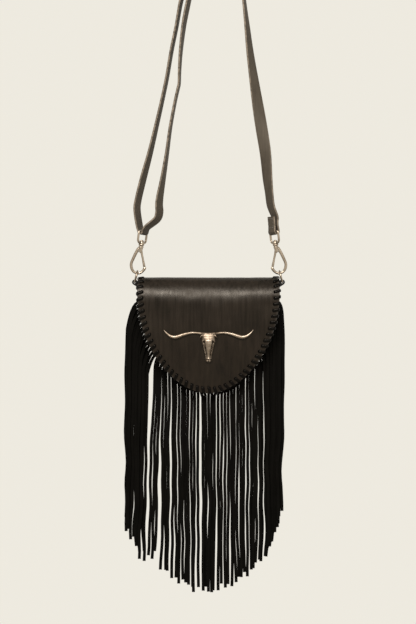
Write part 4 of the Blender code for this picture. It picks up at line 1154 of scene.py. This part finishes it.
def strandLine(start, outward, index, halfCount, hang):
    x0, z0 = start
    rank = abs(index) / halfCount
    push = abs(hang - x0)
    layer = fringe["layer"] * ((index * 7) % 5 - 2) * min(1.0, 3.0 * max(0.0, rank - 0.3))
    layer += 0.0006 * (1 if index % 2 else -1)
    fall = 0.004 + push * 1.7
    length = fringe["long"] + 0.003 * math.sin(index * 2.7 + 0.4) + 0.0025 * math.sin(index * 1.13)
    length += (fringe["longerRight"] if index > 0 else fringe["longerLeft"]) * rank * rank
    drift = (0.30 if hang > fringe["massEnd"] else 0.10) * (hang - x0)
    end = (hang - drift, z0 - fall)
    control = (x0 + outward[0] * (push * 0.55 + 0.0012), z0 + outward[1] * (push * 0.5 + 0.002))
    line = [(x0 - outward[0] * 0.0012, 0.0, z0 - outward[1] * 0.0012)]
    for k in range(1, 8):
        t = k / 7
        a, b, c = (1 - t) ** 2, 2 * t * (1 - t), t * t
        line.append((a * x0 + b * control[0] + c * end[0], layer * min(1.0, t * 2.2),
                     a * z0 + b * control[1] + c * end[1]))
    # both side masses lean left, and so does the cluster beside the left one
    lean = -fringe["leanRight"] * min(1.0, max(0.0, hang - 0.072) / 0.022)
    if hang < fringe["massEnd"]:
        lean = -fringe["leanMass"] * max(0.0, hang + 0.1010) / 0.022
    elif hang < fringe["clusterEnd"]:
        lean = -fringe["leanCluster"]
        share = (hang - fringe["massEnd"]) / (fringe["clusterEnd"] - fringe["massEnd"])
        length -= fringe["shortTips"] * share ** 2
    loose = min(1.0, max(0.0, -hang - 0.055) / 0.020)
    lean += 0.0008 * math.sin(index * 2.39 + 1.1)
    length += 0.004 * loose * math.sin(index * 3.7)
    for k in range(1, 25):
        ease = 1 - (1 - min(1.0, k / 14)) ** 2
        stray = 0.0022 * loose * math.sin(index * 1.9) * max(0.0, k / 24 - 0.72) / 0.28
        x = max(fringe["leftMost"], end[0] + drift * ease + lean * (k / 24) ** 1.3 + stray)
        line.append((x, layer, end[1] + (z0 - length - end[1]) * k / 24))
    return line


def makeFringe(setup):
    points, run = bodyRun()
    halfCount = int((run[-1] - 0.003) / setup["pitch"])
    hangs = fallPlaces(2 * halfCount + 1)
    verts, edges, drops, strands = [], [], [], []
    stations = []
    for index in range(-halfCount, halfCount + 1):
        x, z, outX, outZ = seamAt(points, run, index * setup["pitch"])
        stations.append((x, z, outX, outZ))
        line = strandLine((x, z), (outX, outZ), index, halfCount, hangs[index + halfCount])
        base = len(verts)
        for k, (px, py, pz) in enumerate(line):
            verts.append(atBag(px, setup["middleY"] + py, pz))
            drops.append(max(0.0, (k - 2) / (len(line) - 3)))
            strands.append(float(index))
            if k:
                edges.append((base + k - 1, base + k))
    mesh = bpy.data.meshes.new("strandGuide")
    mesh.from_pydata([tuple(v) for v in verts], edges, [])
    mesh.attributes.new("drop", "FLOAT", "POINT").data.foreach_set("value", drops)
    mesh.attributes.new("strand", "FLOAT", "POINT").data.foreach_set("value", strands)
    mesh.attributes.new("face", "FLOAT_VECTOR", "POINT").data.foreach_set("vector", [0.0, 1.0, 0.0] * len(verts))
    made = runTree(addObject("strandGuide", mesh), makeFringeTree(), {
        "Wide": setup["wide"], "Thick": setup["thick"], "Sway": setup["sway"], "Twist": setup["twist"],
        "Seed": setup["seed"], "Finish": finishes["fringe"]}, "fringeStrands")
    smoothOver(made.data, 40.0)
    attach(made, "bag")
    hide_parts("fringe")
    face = setup["middleY"] - setup["headThick"] / 2
    strip = []
    for f in (1.0, 0.66, 0.33, 0.0):
        inset = f * setup["headWide"]
        strip.append([atBag(x - outX * inset, face, z - outZ * inset) for x, z, outX, outZ in stations])
    unworn = [0.0] * (len(strip) * len(stations))
    head = roundedSheet("fringeHeading", strip, setup["headThick"], finishes["fringe"], unworn)
    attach(head, "bag")


makeFringe(fringe)
print("fringe made")


# Clasps, rings and tabs.
clasp = {"neckX": 0.084, "neckZ": 0.0399, "bellyX": 0.0883, "bellyZ": 0.00505, "wire": 0.0018, "gateWire": 0.0015,
         "collarTall": 0.005, "collarOut": 0.0036, "shank": 0.0015, "head": 0.0029, "headTall": 0.0018,
         "eyeWire": 0.0014, "eyeRise": 0.0176, "eyeTurn": math.radians(60), "strapWide": 0.015,
         "pivotX": 0.0841, "pivotZ": 0.0335, "noseX": 0.0801, "noseZ": 0.0130, "gateLong": 0.0208,
         "bellyWire": 0.0016, "gap": 0.0003}
sideRing = {"radius": 0.0072, "wire": 0.0011, "lean": math.radians(14)}
ringTab = {"thick": 0.0026, "half": 0.0034, "long": 0.0195, "threadReach": 0.0025}
wireUp = Vector((0, 1, 0))


def onSeam(side, x, z):
    return atBag(side * x, bagPlace["seam"], z)

def claspAxis(side):
    neck = onSeam(side, clasp["neckX"], clasp["neckZ"])
    belly = onSeam(side, clasp["bellyX"], clasp["bellyZ"])
    return neck, (neck - belly).normalized()


def turnedRings(side, spans, sides=28):
    neck, up = claspAxis(side)
    other = up.cross(wireUp).normalized()
    turns = fullTurn(sides)
    return [[neck + up * w + (wireUp * math.cos(a) + other * math.sin(a)) * r for a in turns] for w, r in spans]



def word(side):
    return "Right" if side > 0 else "Left"


def node(side, name):
    return name + ("_right" if side > 0 else "_left")


def gateLine(side):
    pivot = onSeam(side, clasp["pivotX"], clasp["pivotZ"])
    nose = onSeam(side, clasp["noseX"], clasp["noseZ"])
    return pivot, (nose - pivot).normalized()


def ringTop(side):
    lift = clasp["bellyWire"] + clasp["gap"] + sideRing["wire"]
    return onSeam(side, clasp["bellyX"] + 0.0004, clasp["bellyZ"] + lift)

def ringDown(side):
    return Vector((side * math.sin(sideRing["lean"]), 0, -math.cos(sideRing["lean"])))


def makeHook(side):
    low, tall = clasp["collarTall"] - 0.0005 + clasp["gap"], clasp["headTall"]
    head, shank = clasp["head"], clasp["shank"]
    spans = [(low + tall + 0.0004, 0.0003), (low + tall + 0.0002, head * 0.5), (low + tall * 0.7, head * 0.9),
             (low + 0.0003, head), (low, head * 0.9), (low, shank), (-0.0008, shank), (-0.0008, 0.0027),
             (-0.0013, 0.0031), (-0.0026, 0.0032), (-0.0040, 0.0029), (-0.0065, 0.0028), (-0.0084, 0.0025),
             (-0.0092, 0.0018)]
    parts = Parts().addRings(turnedRings(side, spans))
    bend = [(0.0852, 0.0375), (0.0880, 0.0352), (0.0915, 0.0290), (0.0944, 0.0228), (0.0964, 0.0180),
            (0.0966, 0.0140), (0.0954, 0.0098), (0.0928, 0.0067), (clasp["bellyX"], clasp["bellyZ"]),
            (0.0842, 0.0063), (0.0811, 0.0092)]
    path = [onSeam(side, x, z) for x, z in bend]
    pivot, shut = gateLine(side)
    path.append(pivot + shut * (clasp["gateLong"] + clasp["gap"] + 0.0012))
    path.append(pivot + shut * (clasp["gateLong"] + clasp["gap"]))
    smooth = smoothRun(path, 4)
    radii = []
    for i in range(len(smooth)):
        slim = 0.0002 * max(0.0, 1 - abs(i - 32) / 9)  # where the side ring hangs
        radii.append(clasp["wire"] * (1.0 + 0.18 * max(0.0, 1 - i / 14)) - min(0.0002, slim * 2))
    for k in range(6):
        radii[-1 - k] = clasp["gateWire"] + 0.0001 * k
    parts.addRings(tubeRings(smooth, radii, 16, wireUp))
    cutters = Parts()
    slotHalf = clasp["gateWire"] + clasp["gap"]
    corners = [onSeam(side, x, z) for x, z in (
        (0.0790, 0.0372), (0.0872, 0.0372), (0.0872, 0.0270), (0.0790, 0.0270))]
    cutters.addRings([[p + wireUp * y for p in corners] for y in (-slotHalf, slotHalf)])
    hook = fuse("hook" + word(side), parts, 0.00022, 2, finishes["nickel"], cutters)
    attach(hook, "clasp" + node(side, ""))
    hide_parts(node(side, "hook"))


def makeGate(side):
    pivot, shut = gateLine(side)
    long, wire = clasp["gateLong"], clasp["gateWire"]
    spans = [(-0.0015, 0.0010), (-0.0011, 0.00145), (0.0, 0.0016), (0.0022, 0.0016), (0.0042, 0.00135),
             (long * 0.55, 0.00125), (long * 0.8, wire), (long - 0.0002, wire), (long, wire * 0.85)]
    path = [pivot + shut * t for t, _ in spans]
    rings = tubeRings(path, [r for _, r in spans], 18, wireUp)
    for ring in rings:
        for corner in ring:
            corner.y = max(-wire, min(wire, corner.y))
    parts = Parts().addRings(rings)
    gate = makePiece("gate" + word(side), parts.verts, parts.faces, finishes["nickel"], smoothAngle=50.0)
    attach(gate, "gate" + node(side, ""))
    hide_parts(node(side, "gate"))


def eyeFrame(side):
    neck, up = claspAxis(side)
    across = Vector((math.cos(clasp["eyeTurn"]), -side * math.sin(clasp["eyeTurn"]), 0))
    across = (across - up * across.dot(up)).normalized()
    return neck, up, across


def makeEye(side):
    neck, up, across = eyeFrame(side)
    low = -0.0005
    top = low + clasp["collarTall"]
    out = clasp["collarOut"]
    spans = [(low, out * 0.80), (low + 0.0004, out * 0.93), (low + 0.0012, out), (low + 0.0018, out * 0.94),
             (low + 0.0024, out), (top - 0.0014, out), (top - 0.0005, out * 0.93), (top, out * 0.78)]
    parts = Parts().addRings(turnedRings(side, spans))
    half = clasp["strapWide"] / 2 + 0.0004 + clasp["eyeWire"]
    rise = clasp["eyeRise"]
    bend = [(0.0026, 0.0026), (half - 0.0034, 0.0034), (half - 0.0010, 0.0048), (half, 0.0074), (half, rise - 0.0026),
            (half - 0.0008, rise - 0.0008), (half - 0.0026, rise)]
    path = [neck + across * u + up * w for u, w in bend] + [neck - across * u + up * w for u, w in reversed(bend)]
    flat = across.cross(up).normalized()
    parts.addRings(tubeRings(smoothRun(path, 4), clasp["eyeWire"], 16, flat))
    cutters = Parts().addRings(turnedRings(side, [(low - 0.002, clasp["shank"] + clasp["gap"]),
                                                  (top + 0.001, clasp["shank"] + clasp["gap"])]))
    eye = fuse("strapEye" + word(side), parts, 0.00022, 2, finishes["nickel"], cutters)
    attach(eye, "strap")
    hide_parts(node(side, "swivel_eye"))


def makeRing(side):
    down = ringDown(side)
    centre = ringTop(side) + down * sideRing["radius"]
    path = [centre + (down * math.cos(a) + wireUp * math.sin(a)) * sideRing["radius"] for a in fullTurn(72)]
    parts = Parts().addRings(tubeRings(path, sideRing["wire"], 16, down.cross(wireUp).normalized(), closed=True), True)
    ring = makePiece("sideRing" + word(side), parts.verts, parts.faces, finishes["nickel"], smoothAngle=60.0)
    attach(ring, "bag")
    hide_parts(node(side, "ring"))


def makeRingTab(side):
    down = ringDown(side)
    hole = ringTop(side) + down * sideRing["radius"] * 2
    run = Vector((-side * 0.83, 0, -0.558)).normalized()
    across = wireUp.cross(run).normalized()
    back = hide["backY"] - hide["backThick"] - clasp["gap"] - bagPlace["seam"]
    front = back - ringTab["thick"]
    outline = []
    for k in range(17):
        a = math.pi / 2 + math.pi * k / 16
        outline.append((run * math.cos(a) + across * math.sin(a)) * ringTab["half"])
    outline.append(run * ringTab["long"] - across * ringTab["half"])
    outline.append(run * ringTab["long"] + across * ringTab["half"])
    levels = [(0.0, 0.88), (0.10, 0.97), (0.28, 1.0), (0.44, 0.98), (0.50, 0.93), (0.56, 0.98), (0.72, 1.0),
              (0.90, 0.97), (1.0, 0.88)]
    rings = []
    for f, size in levels:
        y = front + ringTab["thick"] * f
        ring = []
        for p in outline:
            q = hole + p - (p - run * p.dot(run)) * (1 - size) - (run * min(0.0, p.dot(run))) * (1 - size)
            ring.append(Vector((q.x, y, q.z)))
        rings.append(ring)
    parts = Parts().addRings(rings)
    tab = makePiece("ringTab" + word(side), parts.verts, parts.faces, finishes["panel"], smoothAngle=50.0)
    bore = sideRing["wire"] + clasp["gap"]
    around = [hole + (run * math.cos(a) + across * math.sin(a)) * bore for a in fullTurn(24)]
    cutters = Parts().addRings([[Vector((p.x, y, p.z)) for p in around] for y in (front - 0.002, back + 0.002)])
    cutAway(tab, cutters, finishes["panel"])
    smoothOver(tab.data, 50.0)
    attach(tab, "bag")
    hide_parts(node(side, "ring_tab"))
    reach = ringTab["threadReach"]
    bend = [math.pi / 2 + math.pi * k / 12 for k in range(13)]
    lineUp = [hole + (run * math.cos(a) + across * math.sin(a)) * reach for a in bend]
    lineUp = [hole + run * 0.017 + across * reach] + lineUp + [hole + run * 0.017 - across * reach]
    lineUp = [Vector((p.x, front, p.z)) for p in lineUp]
    sewRun("tabThread" + word(side), [(p, a, Vector((0, -1, 0))) for p, a in evenRun(lineUp, 0.0036)],
           finishes["blackThread"], "bag", seed=20 + side)


def dressCadNode(name, finish):
    thing = bpy.data.objects[name]
    thing.data.materials.clear()
    thing.data.materials.append(finish)


for side in (-1, 1):
    makeHook(side)
    makeGate(side)
    makeEye(side)
    makeRing(side)
    makeRingTab(side)
    dressCadNode(node(side, "gate_pin"), finishes["nickel"])
for name in ("ornament_screw_upper", "ornament_screw_lower"):
    dressCadNode(name, finishes["nickel"])
print("clasps, rings and tabs made")


# Strap and slider.
strap = {"wide": 0.015, "thick": 0.0026, "peg": 0.018, "barHalf": 0.0012, "step": 0.013, "half": 0.0104,
         "x": -0.026, "z": -0.175, "lean": 0.12, "turn": 76}


def levelTurn(degrees):
    a = math.radians(degrees)
    return Vector((math.cos(a), math.sin(a), 0))


def loopRound(bar, across, start, swing, radius, steps=12):
    return [(bar + start * radius * math.cos(math.pi * k / steps)
             + swing * radius * math.sin(math.pi * k / steps), across)
            for k in range(steps + 1)]


def sliderFrame():
    middle = Vector((strap["x"], 0, strap["z"]))
    up = Vector((strap["lean"], 0, 1)).normalized()
    wide = levelTurn(strap["turn"])
    wide = (wide - up * wide.dot(up)).normalized()
    out = wide.cross(up).normalized()
    return middle, up, (-out if out.x > 0 else out), wide


def hung(x, rows):
    # places down the strap: share of x, height, and which way the leather's width points
    return [(Vector((x * share, 0, z)), levelTurn(a)) for share, z, a in rows]

def strapPath():
    gap, thick = clasp["gap"], strap["thick"]
    wrap = clasp["eyeWire"] + gap + thick / 2
    lie = thick / 2 + gap / 2
    down = Vector((0, 0, -1))
    neck, up, wide = eyeFrame(1)
    right = neck + up * clasp["eyeRise"]
    front = Vector((-math.sin(clasp["eyeTurn"]), -math.cos(clasp["eyeTurn"]), 0))
    path = [(right + front * (lie + out) - down * h, wide) for out, h in (
        (0.0026, 0.0185), (0.0021, 0.0130), (0.0016, 0.0080), (0.0014, 0.0045))]
    path += loopRound(right, wide, front, down, wrap)
    path.append((right - front * (lie + 0.0008) - down * 0.0045, wide))
    path += [(right - front * lie - down * h, wide) for h in (0.0080, 0.0130, 0.0185)]
    climb = [(0.945, -0.5070, -55), (0.915, -0.4900, -52), (0.888, -0.4732, -42), (0.850, -0.4413, -25),
             (0.779, -0.4094, 0), (0.707, -0.3776, 26), (0.639, -0.3457, 44), (0.575, -0.3138, 57),
             (0.525, -0.2819, 68), (0.473, -0.2500, 76)]
    path += hung(right.x, climb)
    crown = [(0.0065, -0.1800, 80), (0.0019, -0.1000, 88), (0.0003, -0.0500, 90)]
    path += [(Vector((strap["peg"] + thick / 2 + out, 0, z)), levelTurn(a)) for out, z, a in crown]
    reach = strap["peg"] + thick / 2
    for k in range(13):
        a = math.pi * k / 12
        path.append((Vector((reach * math.cos(a), 0, -strap["peg"] + reach * math.sin(a))), levelTurn(90)))
    fall = [(0.0004, -0.0500, 88), (0.0019, -0.1000, 84), (0.0039, -0.1400, 80)]
    path += [(Vector((-strap["peg"] - thick / 2 - out, 0, z)), levelTurn(a)) for out, z, a in fall]
    middle, slideUp, out, slideWide = sliderFrame()
    near = strap["barHalf"] + gap + thick / 2
    loop = strap["barHalf"] * 1.42 + gap * 1.3 + thick / 2
    over = loop + thick + gap * 1.3
    step = strap["step"]
    for t, n in ((0.0190, -near), (step - 0.0018, -near), (0.0015, near), (-0.0015, near),
                 (0.0025 - step, over), (-0.0035 - step, over + 0.0001), (-0.035, over)):
        path.append((middle + slideUp * t + out * n, slideWide))
    neck, up, leftWide = eyeFrame(-1)
    left = neck + up * clasp["eyeRise"]
    drop = [(0.404, -0.2300, 74), (0.484, -0.2500, 77), (0.546, -0.2819, 79), (0.616, -0.3138, 79),
            (0.674, -0.3457, 79), (0.746, -0.3776, 78), (0.824, -0.4094, 75), (0.905, -0.4413, 70),
            (0.997, -0.4732, 63), (1.066, -0.5000, 62), (1.080, -0.5130, 60)]
    path += hung(left.x, drop)
    back = Vector((-math.sin(clasp["eyeTurn"]), math.cos(clasp["eyeTurn"]), 0))
    path.append((left + back * 0.0052 - down * 0.0065, leftWide))
    path += loopRound(left, leftWide, back, down, wrap)
    path.append((left - back * 0.0060 - down * 0.0050, leftWide))
    rise = [(0.812, -0.5240, 54), (0.780, -0.5150, 54), (0.784, -0.5060, 56), (0.772, -0.4950, 60),
            (0.731, -0.4732, 70), (0.677, -0.4413, 78), (0.631, -0.4094, 81), (0.568, -0.3776, 83),
            (0.529, -0.3616, 83), (0.512, -0.3536, 83), (0.507, -0.3377, 82), (0.491, -0.3138, 79),
            (0.451, -0.2819, 74), (0.398, -0.2560, 72)]
    path += hung(left.x, rise)
    bar = middle - slideUp * step
    for t in (-0.040, -0.030, -0.020, -0.010):
        path.append((bar + slideUp * t - out * lie, slideWide))
    path.append((bar - slideUp * 0.0050 - out * (lie + 0.0012), slideWide))
    path += loopRound(bar, slideWide, -out, slideUp, loop)
    path.append((bar - slideUp * 0.0050 + out * (lie + 0.0012), slideWide))
    path += [(bar + slideUp * t + out * lie, slideWide) for t in (-0.010, -0.016, -0.022)]
    return path


def makeStrap(setup):
    path = strapPath()
    points = smoothRun([p for p, _ in path], 4)
    wides = smoothRun([w for _, w in path], 4)
    half, flat = setup["wide"] / 2, setup["thick"] / 2
    outline = [(1.0, 0.0), (0.985, 0.62), (0.93, 0.88), (0.86, 0.84), (0.81, 0.93), (0.5, 1.0), (0, 1.02), (-0.5, 1.0),
               (-0.81, 0.93), (-0.86, 0.84), (-0.93, 0.88), (-0.985, 0.62)]
    outline += [(-u, -v) for u, v in outline]
    edges = [max(0.0, min(1.0, (abs(u) - 0.90) / 0.07)) for u, _ in outline]
    rings, edge, frames = [], [], []
    for i, point in enumerate(points):
        run = (points[min(i + 1, len(points) - 1)] - points[max(i - 1, 0)]).normalized()
        wide = (wides[i] - run * wides[i].dot(run)).normalized()
        up = wide.cross(run).normalized()
        rings.append([point + wide * half * u + up * flat * v for u, v in outline])
        edge += edges
        frames.append((point, wide, up))
    parts = Parts().addRings(rings)
    made = makePiece("shoulderStrap", parts.verts, parts.faces, finishes["strap"], {"edge": edge}, 50.0)
    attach(made, "strap")
    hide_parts("shoulder_strap")
    sewStrapEnds(frames)


def sewStrapEnds(frames):
    # thread round the sewn-down laps at both ends of the strap
    places = []
    inset = strap["wide"] / 2 - 0.0021
    for lap in (frames[:14], frames[-12:]):
        for face in (-1, 1):
            for u in (-1, 1):
                line = [p + w * inset * u + n * strap["thick"] / 2 * 0.9 * face for p, w, n in lap]
                for spot, run in evenRun(line, threadStitch["pitch"]):
                    nearest = min(range(len(line)), key=lambda k: (line[k] - spot).length)
                    places.append((spot, run, lap[nearest][2] * face))
    for k in (2, 12, len(frames) - 3, len(frames) - 10):
        p, w, n = frames[k]
        for face in (-1, 1):
            for step in range(-2, 3):
                places.append((p + w * step * 0.0026 + n * strap["thick"] * 0.45 * face, w, n * face))
    sewRun("strapThread", places, finishes["taupeThread"], "strap", seed=31)


def makeSlider(setup):
    middle, up, out, wide = sliderFrame()
    bar = setup["barHalf"]
    tall = setup["step"] + bar
    half = setup["half"]
    parts = Parts()
    corner = 0.0028
    outline = []
    for cx, cz, start in ((half - bar - corner, tall - bar - corner, 0), (bar + corner - half, tall - bar - corner, 90),
                          (bar + corner - half, bar + corner - tall, 180),
                          (half - bar - corner, bar + corner - tall, 270)):
        for k in range(7):
            a = math.radians(start + 15 * k)
            outline.append(middle + wide * (cx + corner * math.cos(a)) + up * (cz + corner * math.sin(a)))
    parts.addRings(tubeRings(outline, bar, 16, out, closed=True), True)
    cross = [middle + wide * (half - bar) * t for t in (-1, -0.5, 0, 0.5, 1)]
    parts.addRings(tubeRings(cross, bar, 16, out))
    made = fuse("slider", parts, 0.00026, 2, finishes["nickel"])
    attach(made, "strap")
    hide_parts("slider")


makeStrap(strap)
makeSlider(strap)
print("strap and slider made")

bpy.data.objects.remove(stitchTemplate, do_unlink=True)
